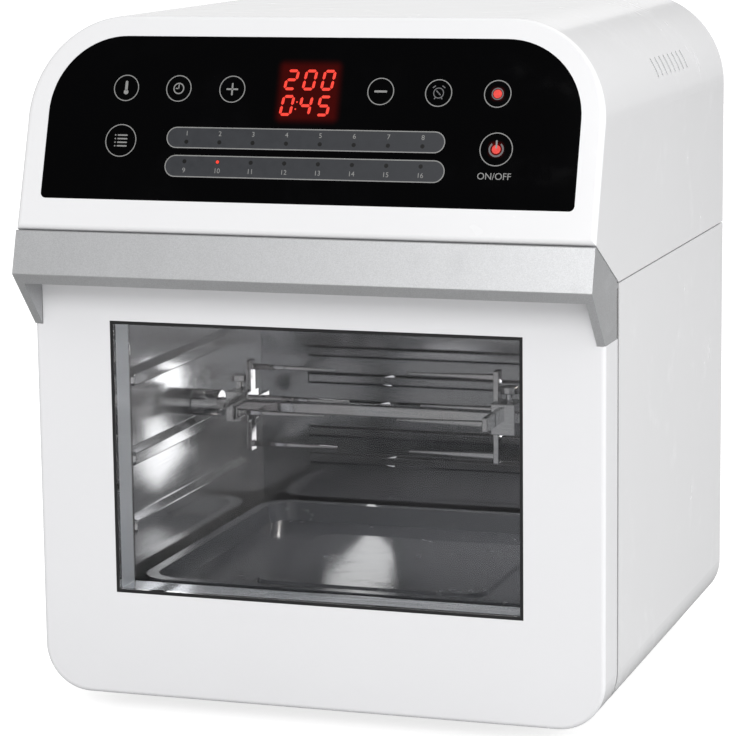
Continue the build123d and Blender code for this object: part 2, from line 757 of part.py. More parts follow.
with BuildPart() as drip_tray:
    with BuildSketch(level_plane(TRAY_LOW_H)):
        with Locations((0, TRAY_MID_D)):
            RectangleRounded(WELL_W, WELL_L, TRAY_R)
    extrude(amount=TRAY_H, taper=-TRAY_DRAFT)
    with BuildSketch(level_plane(TRAY_LOW_H + TRAY_H - TRAY_T)):
        with Locations((0, TRAY_MID_D)):
            RectangleRounded(TRAY_W, TRAY_L, TRAY_R + TRAY_LIP)
    extrude(amount=TRAY_T)
    with BuildSketch(level_plane(TRAY_LOW_H + TRAY_T)):
        with Locations((0, TRAY_MID_D)):
            RectangleRounded(WELL_W - 2 * TRAY_T, WELL_L - 2 * TRAY_T, TRAY_R - TRAY_T)
    extrude(amount=TRAY_H, taper=-TRAY_DRAFT, mode=Mode.SUBTRACT)
    with BuildSketch(level_plane(TRAY_LOW_H + TRAY_T)):
        with Locations((0, TRAY_MID_D)):
            RectangleRounded(WELL_W * PANEL_SHARE, WELL_L * PANEL_SHARE, TRAY_R)
    extrude(amount=PANEL_BOSS_H, taper=PANEL_BOSS_TAPER)
    with BuildSketch(level_plane(TRAY_LOW_H)):
        with Locations((0, TRAY_MID_D)):
            RectangleRounded(WELL_W * PANEL_SHARE - TRAY_T, WELL_L * PANEL_SHARE - TRAY_T, TRAY_R)
    extrude(amount=PANEL_BOSS_H, taper=PANEL_BOSS_TAPER, mode=Mode.SUBTRACT)

# Hot-air duct, guard and heating element above the cavity

ELEMENT_H = CAV_CEIL_H + ELEMENT_RISE


def on_circle(angle, height):
    """Point on the element's ring, or above it, with the angle from the right towards the back."""
    turn = radians(angle)
    across = ELEMENT_RING_R * cos(turn)
    back = ELEMENT_RING_R * sin(turn)
    return Vector(across, FACE_Y + FAN_D + back, FOOT_H + height)


def riser(angle, sense):
    """Bend from the ring up into a straight tail: its foot, middle and top, and the tail's end."""
    turn = radians(angle)
    foot = on_circle(angle, ELEMENT_H)
    away = Vector(-sin(turn), cos(turn), 0) * sense * ELEMENT_BEND_R
    up = Vector(0, 0, ELEMENT_BEND_R)
    middle = foot + up + (away - up) * sqrt(0.5)
    top = foot + away + up
    tail = Vector(top.X, top.Y, FOOT_H + DUCT_TOP_H + ELEMENT_TAIL)
    return foot, middle, top, tail


def half_ring(start):
    """Half of the element's open ring."""
    span = ELEMENT_SWEEP / 2
    return ThreePointArc(
        on_circle(start, ELEMENT_H),
        on_circle(start + span / 2, ELEMENT_H),
        on_circle(start + span, ELEMENT_H),
    )


ELEMENT_START = 90 + (360 - ELEMENT_SWEEP) / 2
FIRST_FOOT, FIRST_MID, FIRST_TOP, FIRST_TAIL = riser(ELEMENT_START, -1)
LAST_FOOT, LAST_MID, LAST_TOP, LAST_TAIL = riser(ELEMENT_START + ELEMENT_SWEEP, 1)

with BuildPart() as heating_element:
    with BuildLine() as element_path:
        Line(FIRST_TAIL, FIRST_TOP)
        ThreePointArc(FIRST_TOP, FIRST_MID, FIRST_FOOT)
        half_ring(ELEMENT_START)
        half_ring(ELEMENT_START + ELEMENT_SWEEP / 2)
        ThreePointArc(LAST_FOOT, LAST_MID, LAST_TOP)
        Line(LAST_TOP, LAST_TAIL)
    with BuildSketch(Plane(origin=FIRST_TAIL, x_dir=(1, 0, 0), z_dir=(0, 0, -1))):
        RegularPolygon(ELEMENT_R, TUBE_SIDES)
    sweep(path=element_path.wires()[0])


def least_gap(wire, radius):
    """Least distance between stretches of one tube that aren't beside each other along it."""
    points = [wire.position_at(step / PATH_STEPS) for step in range(PATH_STEPS + 1)]
    skip = int(PATH_STEPS * PATH_SKIP * radius / wire.length) + 1
    spans = [
        (points[first] - points[second]).length
        for first in range(PATH_STEPS + 1)
        for second in range(first + skip, PATH_STEPS + 1)
    ]
    return min(spans) - 2 * radius


print(f"heating element: least gap to itself {least_gap(element_path.wires()[0], ELEMENT_R):.2f} mm")

with BuildPart() as air_duct:
    with BuildSketch(fan_plane(CAV_CEIL_H + SHEET)):
        Circle(DUCT_R + DUCT_FLANGE)
    extrude(amount=DUCT_T)
    with BuildSketch(fan_plane(CAV_CEIL_H + SHEET)):
        Circle(DUCT_R + DUCT_T)
    extrude(amount=DUCT_H)
    with BuildSketch(fan_plane(CAV_CEIL_H + SHEET)):
        Circle(DUCT_R)
    extrude(amount=DUCT_H - DUCT_T, mode=Mode.SUBTRACT)
    with BuildSketch(fan_plane(DUCT_TOP_H - DUCT_T)):
        Circle(HUB_R + DUCT_HUB_GAP)
        for top in (FIRST_TAIL, LAST_TAIL):
            with Locations((top.X, top.Y - FACE_Y - FAN_D)):
                Circle(ELEMENT_R + FIT)
    extrude(amount=DUCT_T, mode=Mode.SUBTRACT)

with BuildPart() as fan_guard:
    with BuildSketch(fan_plane(CAV_CEIL_H - GUARD_T)):
        Circle(DUCT_R + DUCT_FLANGE)
        with PolarLocations(GUARD_SLOT_R, GUARD_SLOTS):
            Rectangle(GUARD_SLOT_L, GUARD_SLOT_W, mode=Mode.SUBTRACT)
        with PolarLocations(GUARD_INNER_R, GUARD_INNER_SLOTS):
            Rectangle(GUARD_INNER_L, GUARD_SLOT_W, mode=Mode.SUBTRACT)
    extrude(amount=GUARD_T)

# Rotating group: fans, shaft and rotor

FAN_DISC_H = CAV_CEIL_H + FAN_DISC_RISE
NUT_TOP_H = FAN_DISC_H - BLADE_H
COOL_LOW_H = DUCT_TOP_H + COOL_GAP
PLATE_H = COOL_LOW_H + COOL_H + COOL_GAP
STACK_LOW_H = PLATE_H + BRACKET_T + BRIDGE_T + BOSS_H
STACK_TOP_H = STACK_LOW_H + STACK_T
SHAFT_LOW_H = NUT_TOP_H - NUT_T - SHAFT_PROUD
SHAFT_TOP_H = STACK_TOP_H + BRIDGE_T + BOSS_H + SHAFT_PROUD

with BuildPart() as motor_shaft:
    with BuildSketch(fan_plane(SHAFT_LOW_H)):
        Circle(SHAFT_R)
    extrude(amount=SHAFT_TOP_H - SHAFT_LOW_H)

with BuildPart() as circulation_fan:
    with BuildSketch(fan_plane(FAN_DISC_H)):
        Circle(FAN_R)
    extrude(amount=DISC_T)
    with BuildSketch(fan_plane(NUT_TOP_H)):
        RegularPolygon(HUB_R, HUB_SIDES)
    extrude(amount=BLADE_H)
    with BuildSketch(fan_plane(NUT_TOP_H)):
        with PolarLocations(FAN_R - BLADE_L / 2 - BLADE_INSET, FAN_BLADES):
            Rectangle(BLADE_L, BLADE_T, rotation=BLADE_TURN)
    extrude(amount=BLADE_H)
    with BuildSketch(fan_plane(NUT_TOP_H)):
        Circle(SHAFT_R + SHAFT_PLAY)
    extrude(amount=BLADE_H + DISC_T, mode=Mode.SUBTRACT)

with BuildPart() as fan_nut:
    with BuildSketch(fan_plane(NUT_TOP_H)):
        RegularPolygon(NUT_AF / 2, 6, major_radius=False)
        Circle(SHAFT_R + SHAFT_PLAY, mode=Mode.SUBTRACT)
    extrude(amount=-NUT_T)

with BuildPart() as cooling_fan:
    with BuildSketch(fan_plane(COOL_LOW_H)):
        RegularPolygon(HUB_R, HUB_SIDES)
        with PolarLocations((COOL_R + HUB_R) / 2 - BLADE_INSET, COOL_BLADES):
            Rectangle(COOL_R - HUB_R + 2 * BLADE_INSET, BLADE_T)
    extrude(amount=COOL_H)
    with BuildSketch(fan_plane(COOL_LOW_H)):
        Circle(SHAFT_R + SHAFT_PLAY)
    extrude(amount=COOL_H, mode=Mode.SUBTRACT)

with BuildPart() as motor_rotor:
    with BuildSketch(fan_plane(STACK_LOW_H)):
        Circle(STACK_BORE_R - ROTOR_GAP)
        Circle(SHAFT_R + SHAFT_PLAY, mode=Mode.SUBTRACT)
    extrude(amount=STACK_T)

with BuildPart() as motor_bracket:
    with BuildSketch(Plane(origin=(0, FACE_Y + FAN_D, FOOT_H), x_dir=(1, 0, 0), z_dir=(0, -1, 0))):
        with BuildLine() as strap:
            Polyline(
                (-BRACKET_LEG_X - BRACKET_TOE, DUCT_TOP_H + BRACKET_T),
                (-BRACKET_LEG_X - BRACKET_TOE, DUCT_TOP_H),
                (-BRACKET_LEG_X, DUCT_TOP_H),
                (-BRACKET_LEG_X, PLATE_H),
                (BRACKET_LEG_X, PLATE_H),
                (BRACKET_LEG_X, DUCT_TOP_H),
                (BRACKET_LEG_X + BRACKET_TOE, DUCT_TOP_H),
                (BRACKET_LEG_X + BRACKET_TOE, DUCT_TOP_H + BRACKET_T),
                (BRACKET_LEG_X + BRACKET_T, DUCT_TOP_H + BRACKET_T),
                (BRACKET_LEG_X + BRACKET_T, PLATE_H + BRACKET_T),
                (-BRACKET_LEG_X - BRACKET_T, PLATE_H + BRACKET_T),
                (-BRACKET_LEG_X - BRACKET_T, DUCT_TOP_H + BRACKET_T),
                close=True,
            )
        make_face(strap.edges())
    extrude(amount=BRACKET_DEPTH / 2, both=True)
    with BuildSketch(fan_plane(PLATE_H)):
        Circle(HUB_R)
    extrude(amount=BRACKET_T, mode=Mode.SUBTRACT)

with BuildPart() as motor_bearings:
    with BuildSketch(fan_plane(PLATE_H + BRACKET_T)):
        Rectangle(STACK_W, BRIDGE_W)
    extrude(amount=BRIDGE_T)
    with BuildSketch(fan_plane(PLATE_H + BRACKET_T + BRIDGE_T)):
        with GridLocations(STACK_W - BRIDGE_W, 0, 2, 1):
            Rectangle(BRIDGE_W, BRIDGE_W)
    extrude(amount=BOSS_H)
    with BuildSketch(fan_plane(STACK_TOP_H)):
        Rectangle(STACK_W, BRIDGE_W)
    extrude(amount=BRIDGE_T)
    with BuildSketch(fan_plane(STACK_TOP_H + BRIDGE_T)):
        RegularPolygon(BOSS_R, HUB_SIDES)
    extrude(amount=BOSS_H)
    with BuildSketch(fan_plane(PLATE_H)):
        Circle(SHAFT_R + SHAFT_PLAY)
    extrude(amount=SHAFT_TOP_H - PLATE_H, mode=Mode.SUBTRACT)

with BuildPart() as motor_stator:
    with BuildSketch(fan_plane(STACK_LOW_H)):
        with Locations((0, (STACK_D - STACK_W) / 2 + 2 * STACK_BACK)):
            Rectangle(STACK_W, STACK_D)
            with Locations((0, STACK_D / 4 - COIL_BACK)):
                Rectangle(STACK_W / 2, 2 * COIL_T, mode=Mode.SUBTRACT)
        Circle(STACK_BORE_R, mode=Mode.SUBTRACT)
    extrude(amount=STACK_T)

# Thermal cutout on the duct

with BuildPart() as thermal_cutout:
    with BuildSketch(fan_plane(DUCT_TOP_H)):
        with Locations((0, -DUCT_R * CUTOUT_SHARE)):
            RectangleRounded(CUTOUT_W + 2 * CUTOUT_EAR, CUTOUT_W / 2, CUTOUT_EAR_R)
    extrude(amount=CUTOUT_EAR_T)
    with BuildSketch(fan_plane(DUCT_TOP_H)):
        with Locations((0, -DUCT_R * CUTOUT_SHARE)):
            Circle(CUTOUT_W / 2)
    extrude(amount=CUTOUT_T)

# Boards

with BuildPart() as display_board:
    with BuildSketch(panel_plane(-BOARD_BACK)):
        with Locations((0, BOARD_LOW_V + BOARD_H / 2)):
            Rectangle(BOARD_W, BOARD_H)
    extrude(amount=-BOARD_T)
    with BuildSketch(panel_plane(-BOARD_BACK)):
        with Locations((0, DIGITS_V)):
            Rectangle(DIGITS_W, DIGITS_H)
        for touch_x in TOUCH_X:
            with Locations((touch_x, TOUCH_V)):
                Rectangle(POST_W, POST_W)
    extrude(amount=BOARD_BACK - FASCIA_T - SNUG)

with BuildPart() as power_board:
    with BuildSketch(front_plane(POWER_D)):
        with Locations((POWER_X, POWER_MID_H)):
            Rectangle(REAR_SPAN, POWER_H)
    extrude(amount=-BOARD_T)
    with BuildSketch(front_plane(POWER_D)):
        with Locations((POWER_X - REAR_SPAN / 4, POWER_MID_H)):
            Rectangle(TRANSFORMER_W, TRANSFORMER_H)
        with Locations((POWER_X + RELAY_X, POWER_MID_H + RELAY_UP)):
            Rectangle(RELAY_W, RELAY_H)
        with Locations((POWER_X + REAR_SPAN / 3, POWER_MID_H - FILTER_DOWN)):
            Rectangle(FILTER_W, FILTER_H)
    extrude(amount=PARTS_T)

# Rotisserie

GEARBOX_X = -HALF_CAV - SHEET - GEARBOX_GAP
SOCKET_END_X = SOCKET_BASE - HALF_CAV + SOCKET_L
CRADLE_X = HALF_CAV - CRADLE_REACH
SPIT_START_X = SOCKET_BASE - HALF_CAV + SPIT_SEAT
SPIT_END_X = CRADLE_X + CRADLE_T + SPIT_PROUD
LEFT_FORK_X = SOCKET_END_X + FORK_GAP + FORK_HUB_L
RIGHT_FORK_X = CRADLE_X - RIGHT_FORK_GAP - FORK_HUB_L
CRADLE_LOW = RAIL_HEIGHTS[1] + RAIL_W / 2 + CRADLE_GAP - SPIT_H

with BuildPart() as rotisserie_motor:
    with BuildSketch(spit_plane(GEARBOX_X)):
        RectangleRounded(GEARBOX_W, GEARBOX_H, GEARBOX_R)
        Circle(SOCKET_SHAFT_R + SHAFT_PLAY, mode=Mode.SUBTRACT)
    extrude(amount=-GEARBOX_T)
    with BuildSketch(spit_plane(GEARBOX_X)):
        post_across = GEARBOX_W - 2 * GEARBOX_POST_INSET
        post_up = GEARBOX_H - 2 * GEARBOX_POST_INSET
        with GridLocations(post_across, post_up, 2, 2):
            Rectangle(POST_W, POST_W)
    extrude(amount=GEARBOX_GAP)

with BuildPart() as drive_socket:
    with BuildSketch(spit_plane(GEARBOX_X - GEARBOX_T + SOCKET_ROOT)):
        Circle(SOCKET_SHAFT_R)
    extrude(amount=SOCKET_BASE - HALF_CAV - GEARBOX_X + GEARBOX_T - SOCKET_ROOT)
    with BuildSketch(spit_plane(FIT - HALF_CAV)):
        Circle(SOCKET_R)
    extrude(amount=SOCKET_END_X - FIT + HALF_CAV)
    with BuildSketch(spit_plane(SPIT_START_X - SPIT_END_GAP)):
        Rectangle(SPIT_W + 2 * SPIT_PLAY, SPIT_W + 2 * SPIT_PLAY)
    extrude(amount=SOCKET_END_X - SPIT_START_X + SPIT_END_GAP, mode=Mode.SUBTRACT)

with BuildPart() as spit_rod:
    with BuildSketch(spit_plane(SPIT_START_X)):
        Rectangle(SPIT_W, SPIT_W)
    extrude(amount=SPIT_END_X - JOURNAL_L - SPIT_START_X)
    with BuildSketch(spit_plane(SPIT_END_X - JOURNAL_L)):
        Circle(SPIT_W / 2 - SNUG)
    extrude(amount=JOURNAL_L)

with BuildPart() as spit_cradle:
    with BuildSketch(spit_plane(CRADLE_X)):
        span_face(-CRADLE_W / 2, CRADLE_W / 2, CRADLE_LOW, CRADLE_RISE)
    extrude(amount=CRADLE_REACH)
    with BuildSketch(spit_plane(CRADLE_X + CRADLE_T)):
        span_face(CRADLE_T - CRADLE_W / 2, CRADLE_W / 2 - CRADLE_T, CRADLE_LOW, CRADLE_RISE)
    extrude(amount=CRADLE_REACH, mode=Mode.SUBTRACT)
    with BuildSketch(spit_plane(CRADLE_X)):
        span_face(-SPIT_W / 2 - SPIT_PLAY, SPIT_W / 2 + SPIT_PLAY, 0, CRADLE_RISE)
        Circle(SPIT_W / 2 + SPIT_PLAY)
    extrude(amount=CRADLE_T, mode=Mode.SUBTRACT)

for name, hub_x, facing in (("left", LEFT_FORK_X, 1), ("right", RIGHT_FORK_X, -1)):
    with BuildPart() as fork:
        with BuildSketch(spit_plane(hub_x)):
            Rectangle(FORK_HUB_W, FORK_HUB_W)
        extrude(amount=-facing * FORK_HUB_L)
        with BuildSketch(spit_plane(hub_x)):
            Rectangle(FORK_SPAN + FORK_ARM_W, FORK_ARM_W)
            Rectangle(FORK_ARM_W, FORK_SPAN + FORK_ARM_W)
        extrude(amount=-facing * FORK_ARM_T)
        with BuildSketch(spit_plane(hub_x)):
            with PolarLocations(FORK_SPAN / 2, 4):
                Rectangle(2 * TINE_R, 2 * TINE_R)
        extrude(amount=facing * TINE_L, taper=TINE_TAPER)
        with BuildSketch(spit_plane(hub_x)):
            Rectangle(SPIT_W + 2 * SPIT_PLAY, SPIT_W + 2 * SPIT_PLAY)
        extrude(amount=-facing * FORK_HUB_L, mode=Mode.SUBTRACT)
        screw_x = hub_x - facing * (FORK_ARM_T + FORK_HUB_L) / 2
        with BuildSketch(Plane(origin=(screw_x, FACE_Y + SPIT_D, FOOT_H + SPIT_H))):
            Circle(SCREW_R + SHAFT_PLAY)
        extrude(amount=FORK_HUB_W, mode=Mode.SUBTRACT)
    write(fork.part, f"{name}_fork")
    with BuildPart() as thumb_screw:
        screw_low = FOOT_H + SPIT_H + SPIT_W / 2 + SPIT_PLAY
        head_low = FOOT_H + SPIT_H + FORK_HUB_W / 2 + SCREW_STAND
        with BuildSketch(Plane(origin=(screw_x, FACE_Y + SPIT_D, screw_low))):
            Circle(SCREW_R)
        extrude(amount=head_low - screw_low)
        with BuildSketch(Plane(origin=(screw_x, FACE_Y + SPIT_D, head_low))):
            RegularPolygon(SCREW_HEAD_R, SCREW_HEAD_SIDES)
        extrude(amount=SCREW_HEAD_T)
    write(thumb_screw.part, f"{name}_thumb_screw")

# Lamp on the right wall, probe through the rear wall

BULB_X = HALF_CAV + SHEET + HOLDER_T - HOLDER_WALL

with BuildPart() as lamp_lens:
    with BuildSketch(side_plane(HALF_CAV)):
        with Locations((LAMP_D, LAMP_H)):
            Circle(LAMP_R)
    extrude(amount=-LENS_T, taper=LENS_TAPER)
    with BuildSketch(side_plane(HALF_CAV)):
        with Locations((LAMP_D, LAMP_H)):
            Circle(LENS_HOLE_R - SNUG)
    extrude(amount=SHEET)

with BuildPart() as lamp_holder:
    with BuildSketch(side_plane(HALF_CAV + SHEET)):
        with Locations((LAMP_D, LAMP_H)):
            RectangleRounded(HOLDER_W, HOLDER_W, HOLDER_R)
    extrude(amount=HOLDER_T)
    with BuildSketch(side_plane(HALF_CAV + SHEET)):
        with Locations((LAMP_D, LAMP_H)):
            Rectangle(HOLDER_W - 2 * HOLDER_WALL, HOLDER_W - 2 * HOLDER_WALL)
    extrude(amount=HOLDER_T - HOLDER_WALL, mode=Mode.SUBTRACT)

with BuildPart() as lamp_bulb:
    with BuildSketch(side_plane(BULB_X)):
        with Locations((LAMP_D, LAMP_H)):
            Rectangle(BULB_BASE_W, BULB_BASE_H)
    extrude(amount=-BULB_BASE_T)
    with BuildSketch(side_plane(BULB_X - BULB_BASE_T)):
        with Locations((LAMP_D, LAMP_H)):
            Circle(BULB_R)
    extrude(amount=-BULB_L)

with BuildPart() as temperature_probe:
    with BuildSketch(front_plane(CAV_REAR_D - PROBE_L)):
        with Locations((PROBE_X, PROBE_H)):
            Circle(PROBE_R)
    extrude(amount=-(PROBE_L + SHEET + PROBE_TAIL))
    with BuildSketch(front_plane(CAV_REAR_D + SHEET)):
        with Locations((PROBE_X, PROBE_H)):
            RegularPolygon(PROBE_NUT_AF / 2, 6, major_radius=False)
    extrude(amount=-PROBE_NUT_T)

# Door

DOOR_TOP_DROP = GRIP_WALL + SNUG


def door_form(inset, rear, front):
    """The door's solid outer form between two depths, or the same form drawn in by a wall."""
    top_drop = DOOR_TOP_DROP + inset
    with BuildPart() as form:
        with BuildSketch(front_plane(front)):
            tub_face(BODY_W - 2 * inset, inset, GRIP_TOP_H, LOWER_R - inset)
        extrude(amount=-(rear - front))
        with BuildSketch(side_plane(-HALF_W)):
            with BuildLine() as above:
                Polyline(
                    (-WALL, lip_height(-WALL, top_drop)),
                    (DOOR_T + WALL, lip_height(DOOR_T + WALL, top_drop)),
                    (DOOR_T + WALL, GRIP_TOP_H + WALL),
                    (-WALL, GRIP_TOP_H + WALL),
                    close=True,
                )
            make_face(above.edges())
        extrude(amount=BODY_W, mode=Mode.SUBTRACT)
    return form.part


PLATE_D = DOOR_T - DOOR_PLATE_T
WINDOW_HALF = WINDOW_W / 2
SLOT_LOW_D = HINGE_D - EAR_R - EAR_PLAY
SLOT_TOP_H = HINGE_H + EAR_R + EAR_PLAY
SLOT_HALF = EAR_T / 2 + EAR_PLAY
GRIP_SCREW_X = [inset - HALF_W for inset in GRIP_SCREW_INSETS]
GRIP_SCREW_X += [HALF_W - inset for inset in GRIP_SCREW_INSETS]


def hinge_slots():
    """Slots in the door's back and underside that clear the hinge ears."""
    for ear_x in (-HINGE_X, HINGE_X):
        with BuildSketch(side_plane(ear_x - SLOT_HALF)) as slot:
            span_face(SLOT_LOW_D, DOOR_T + WALL, -WALL, SLOT_TOP_H)
        extrude(slot.sketch, amount=2 * SLOT_HALF, mode=Mode.SUBTRACT)


def lip_plane(x, depth, drop):
    """Plane along the grip's slanting top, a drop below it, facing up and back."""
    slope = radians(LIP_ANGLE)
    top = Plane(
        origin=(x, FACE_Y + depth, FOOT_H + lip_height(depth, 0)),
        x_dir=(1, 0, 0),
        z_dir=(0, sin(slope), cos(slope)),
    )
    return top.offset(-drop)


with BuildPart() as door_panel:
    add(door_form(0, PLATE_D - SNUG, 0))
    face_edges = faces().sort_by(Axis.Y)[0].edges().sort_by(Axis.Z)[:-1]
    fillet(face_edges, EDGE_R)
    add(door_form(WALL, PLATE_D + WALL, DOOR_SKIN), mode=Mode.SUBTRACT)
    with BuildSketch(front_plane(0)):
        span_face(-WINDOW_HALF, WINDOW_HALF, WINDOW_LOW_H, WINDOW_TOP_H)
    extrude(amount=-DOOR_SKIN, mode=Mode.SUBTRACT)
    with BuildSketch(front_plane(0)):
        for side in (-1, 1):
            with Locations((side * HALF_W, GRIP_TOP_H)):
                Rectangle(2 * (CHEEK_T + DOOR_CLEAR), 2 * (GRIP_TOP_H - CHEEK_LOW_H + DOOR_CLEAR))
    extrude(amount=-DOOR_T, mode=Mode.SUBTRACT)
    hinge_slots()
    for screw_x in GRIP_SCREW_X:
        with BuildSketch(lip_plane(screw_x, GRIP_SCREW_D, DOOR_TOP_DROP)):
            RegularPolygon(SHANK_AF / 2 + SHANK_PLAY, 6, major_radius=False)
        extrude(amount=-2 * WALL, mode=Mode.SUBTRACT)

STRIP_TURN = atan2(GRIP_NOSE_H - CHEEK_LOW_H, GRIP_NOSE_REACH)
STRIP_D = GRIP_STRIP * cos(STRIP_TURN) - GRIP_NOSE_REACH
STRIP_H = GRIP_NOSE_H - GRIP_STRIP * sin(STRIP_TURN)
FACE_LEAN = (GRIP_NOSE_REACH - GRIP_TOP_REACH) / (GRIP_TOP_H - GRIP_NOSE_H)
WEB_D = GRIP_WALL * sqrt(1 + FACE_LEAN**2) - GRIP_TOP_REACH - GRIP_TOP_H * FACE_LEAN
RIM_LINE = GRIP_NOSE_H * cos(STRIP_TURN) - GRIP_NOSE_REACH * sin(STRIP_TURN) + GRIP_RIM
WEB_LOW_H = (RIM_LINE - WEB_D * sin(STRIP_TURN)) / (cos(STRIP_TURN) + FACE_LEAN * sin(STRIP_TURN))
LIP_SLOPE = tan(radians(LIP_ANGLE))
WEB_TOP_H = (lip_height(0, GRIP_WALL) - WEB_D * LIP_SLOPE) / (1 + FACE_LEAN * LIP_SLOPE)

with BuildPart() as door_handle:
    with BuildSketch(side_plane(-HALF_W)):
        with BuildLine() as hook:
            Polyline(
                (-GRIP_TOP_REACH, GRIP_TOP_H),
                (-GRIP_NOSE_REACH, GRIP_NOSE_H),
                (STRIP_D, STRIP_H),
                (STRIP_D + GRIP_RIM * sin(STRIP_TURN), STRIP_H + GRIP_RIM * cos(STRIP_TURN)),
                (WEB_D + WEB_LOW_H * FACE_LEAN, WEB_LOW_H),
                (WEB_D + WEB_TOP_H * FACE_LEAN, WEB_TOP_H),
                (CHEEK_REAR_D, lip_height(CHEEK_REAR_D, GRIP_WALL)),
                (CHEEK_REAR_D, lip_height(CHEEK_REAR_D, 0)),
                close=True,
            )
        make_face(hook.edges())
    extrude(amount=BODY_W)
    for start in (-HALF_W, HALF_W - CHEEK_T):
        with BuildSketch(side_plane(start)):
            with BuildLine() as cheek:
                Polyline(
                    (-GRIP_TOP_REACH, GRIP_TOP_H),
                    (-GRIP_NOSE_REACH, GRIP_NOSE_H),
                    (0, CHEEK_LOW_H),
                    (CHEEK_REAR_D, CHEEK_LOW_H),
                    (CHEEK_REAR_D, lip_height(CHEEK_REAR_D, 0)),
                    close=True,
                )
            make_face(cheek.edges())
        extrude(amount=CHEEK_T)
    along = edges().filter_by(Axis.X).filter_by(lambda edge: edge.length > BODY_W - WALL)
    nose = along.filter_by(lambda edge: edge.center().Y < FACE_Y - GRIP_TOP_REACH + GRIP_EDGE_R)
    fillet(nose, GRIP_EDGE_R)

with BuildPart() as handle_screws:
    for screw_x in GRIP_SCREW_X:
        with BuildSketch(lip_plane(screw_x, GRIP_SCREW_D, DOOR_TOP_DROP + WALL + SNUG / 2)):
            RegularPolygon(HEX_AF / 2, 6, major_radius=False)
        extrude(amount=-HEX_T)
        with BuildSketch(lip_plane(screw_x, GRIP_SCREW_D, DOOR_TOP_DROP + WALL + SNUG / 2)):
            RegularPolygon(SHANK_AF / 2, 6, major_radius=False)
        extrude(amount=WALL + SNUG)

with BuildPart() as window_trim:
    with BuildSketch(front_plane(0)):
        span_face(
            SNUG / 2 - WINDOW_HALF,
            WINDOW_HALF - SNUG / 2,
            WINDOW_LOW_H + SNUG / 2,
            WINDOW_TOP_H - SNUG / 2,
        )
        span_face(
            TRIM_W - WINDOW_HALF,
            WINDOW_HALF - TRIM_W,
            WINDOW_LOW_H + TRIM_W,
            WINDOW_TOP_H - TRIM_W,
            mode=Mode.SUBTRACT,
        )
    extrude(amount=-(GLASS_RECESS + GLASS_T))

PANE_GAP = TRIM_W + SNUG
REVEAL_FRONT_D = GLASS_RECESS + GLASS_T + SNUG
INNER_GLASS_D = PLATE_D - SNUG - INNER_GLASS_T

with BuildPart() as outer_glass:
    with BuildSketch(front_plane(GLASS_RECESS)):
        span_face(
            PANE_GAP - WINDOW_HALF, WINDOW_HALF - PANE_GAP, WINDOW_LOW_H + PANE_GAP, WINDOW_TOP_H - PANE_GAP
        )
    extrude(amount=-GLASS_T)

with BuildPart() as window_reveal:
    with BuildSketch(front_plane(REVEAL_FRONT_D)):
        span_face(-WINDOW_HALF, WINDOW_HALF, WINDOW_LOW_H, WINDOW_TOP_H)
        span_face(
            REVEAL_WALL - WINDOW_HALF,
            WINDOW_HALF - REVEAL_WALL,
            WINDOW_LOW_H + REVEAL_WALL,
            WINDOW_TOP_H - REVEAL_WALL,
            mode=Mode.SUBTRACT,
        )
    extrude(amount=-(INNER_GLASS_D - SNUG - REVEAL_FRONT_D))

with BuildPart() as inner_glass:
    with BuildSketch(front_plane(INNER_GLASS_D)):
        span_face(
            -WINDOW_HALF - INNER_GLASS_LAP,
            WINDOW_HALF + INNER_GLASS_LAP,
            WINDOW_LOW_H - INNER_GLASS_LAP,
            WINDOW_TOP_H + INNER_GLASS_LAP,
        )
    extrude(amount=-INNER_GLASS_T)

LIP_HALF = WINDOW_HALF + INNER_GLASS_LAP + DOOR_CLEAR

with BuildPart() as door_inner_frame:
    with BuildSketch(front_plane(PLATE_D)):
        tub_face(BODY_W - 2 * FIT, FIT, DOOR_PLATE_TOP_H, LOWER_R - FIT)
        span_face(-WINDOW_HALF, WINDOW_HALF, WINDOW_LOW_H, WINDOW_TOP_H, mode=Mode.SUBTRACT)
    extrude(amount=-DOOR_PLATE_T)
    with BuildSketch(front_plane(PLATE_D)):
        with Locations((0, (WINDOW_LOW_H + WINDOW_TOP_H) / 2)):
            window_h = WINDOW_TOP_H - WINDOW_LOW_H
            lip_h = window_h + 2 * (INNER_GLASS_LAP + DOOR_CLEAR)
            Rectangle(2 * (LIP_HALF + GLASS_LIP), lip_h + 2 * GLASS_LIP)
            Rectangle(2 * LIP_HALF, lip_h, mode=Mode.SUBTRACT)
    extrude(amount=INNER_GLASS_T)
    hinge_slots()

with BuildPart() as door_catches:
    for side in (-1, 1):
        with BuildSketch(side_plane(side * CATCH_X - CATCH_W / 2)):
            with BuildLine() as tongue:
                Polyline(
                    (DOOR_T, CATCH_H + CATCH_TALL / 2),
                    (DOOR_T + CATCH_L - CATCH_TIP, CATCH_H + CATCH_TALL / 2),
                    (DOOR_T + CATCH_L, CATCH_H),
                    (DOOR_T + CATCH_L - CATCH_TIP, CATCH_H - CATCH_TALL / 2),
                    (DOOR_T, CATCH_H - CATCH_TALL / 2),
                    close=True,
                )
            make_face(tongue.edges())
        extrude(amount=CATCH_W)

with BuildPart() as catch_strikes:
    for side in (-1, 1):
        with BuildSketch(front_plane(CAV_FRONT_D)):
            with Locations((side * CATCH_X, CATCH_H)):
                Rectangle(
                    CATCH_W + CATCH_PLAY + 2 * STRIKE_WALL, CATCH_TALL + 2 * CATCH_PLAY + 2 * STRIKE_WALL
                )
        extrude(amount=-STRIKE_T)
        with BuildSketch(front_plane(CAV_FRONT_D)):
            with Locations((side * CATCH_X, CATCH_H)):
                Rectangle(CATCH_W + CATCH_PLAY, CATCH_TALL + 2 * CATCH_PLAY)
        extrude(amount=STRIKE_WALL - STRIKE_T, mode=Mode.SUBTRACT)

# Door switch and its plunger, pressed in while the door is shut

PLUNGER_D = DOOR_T + SEAL_GAP

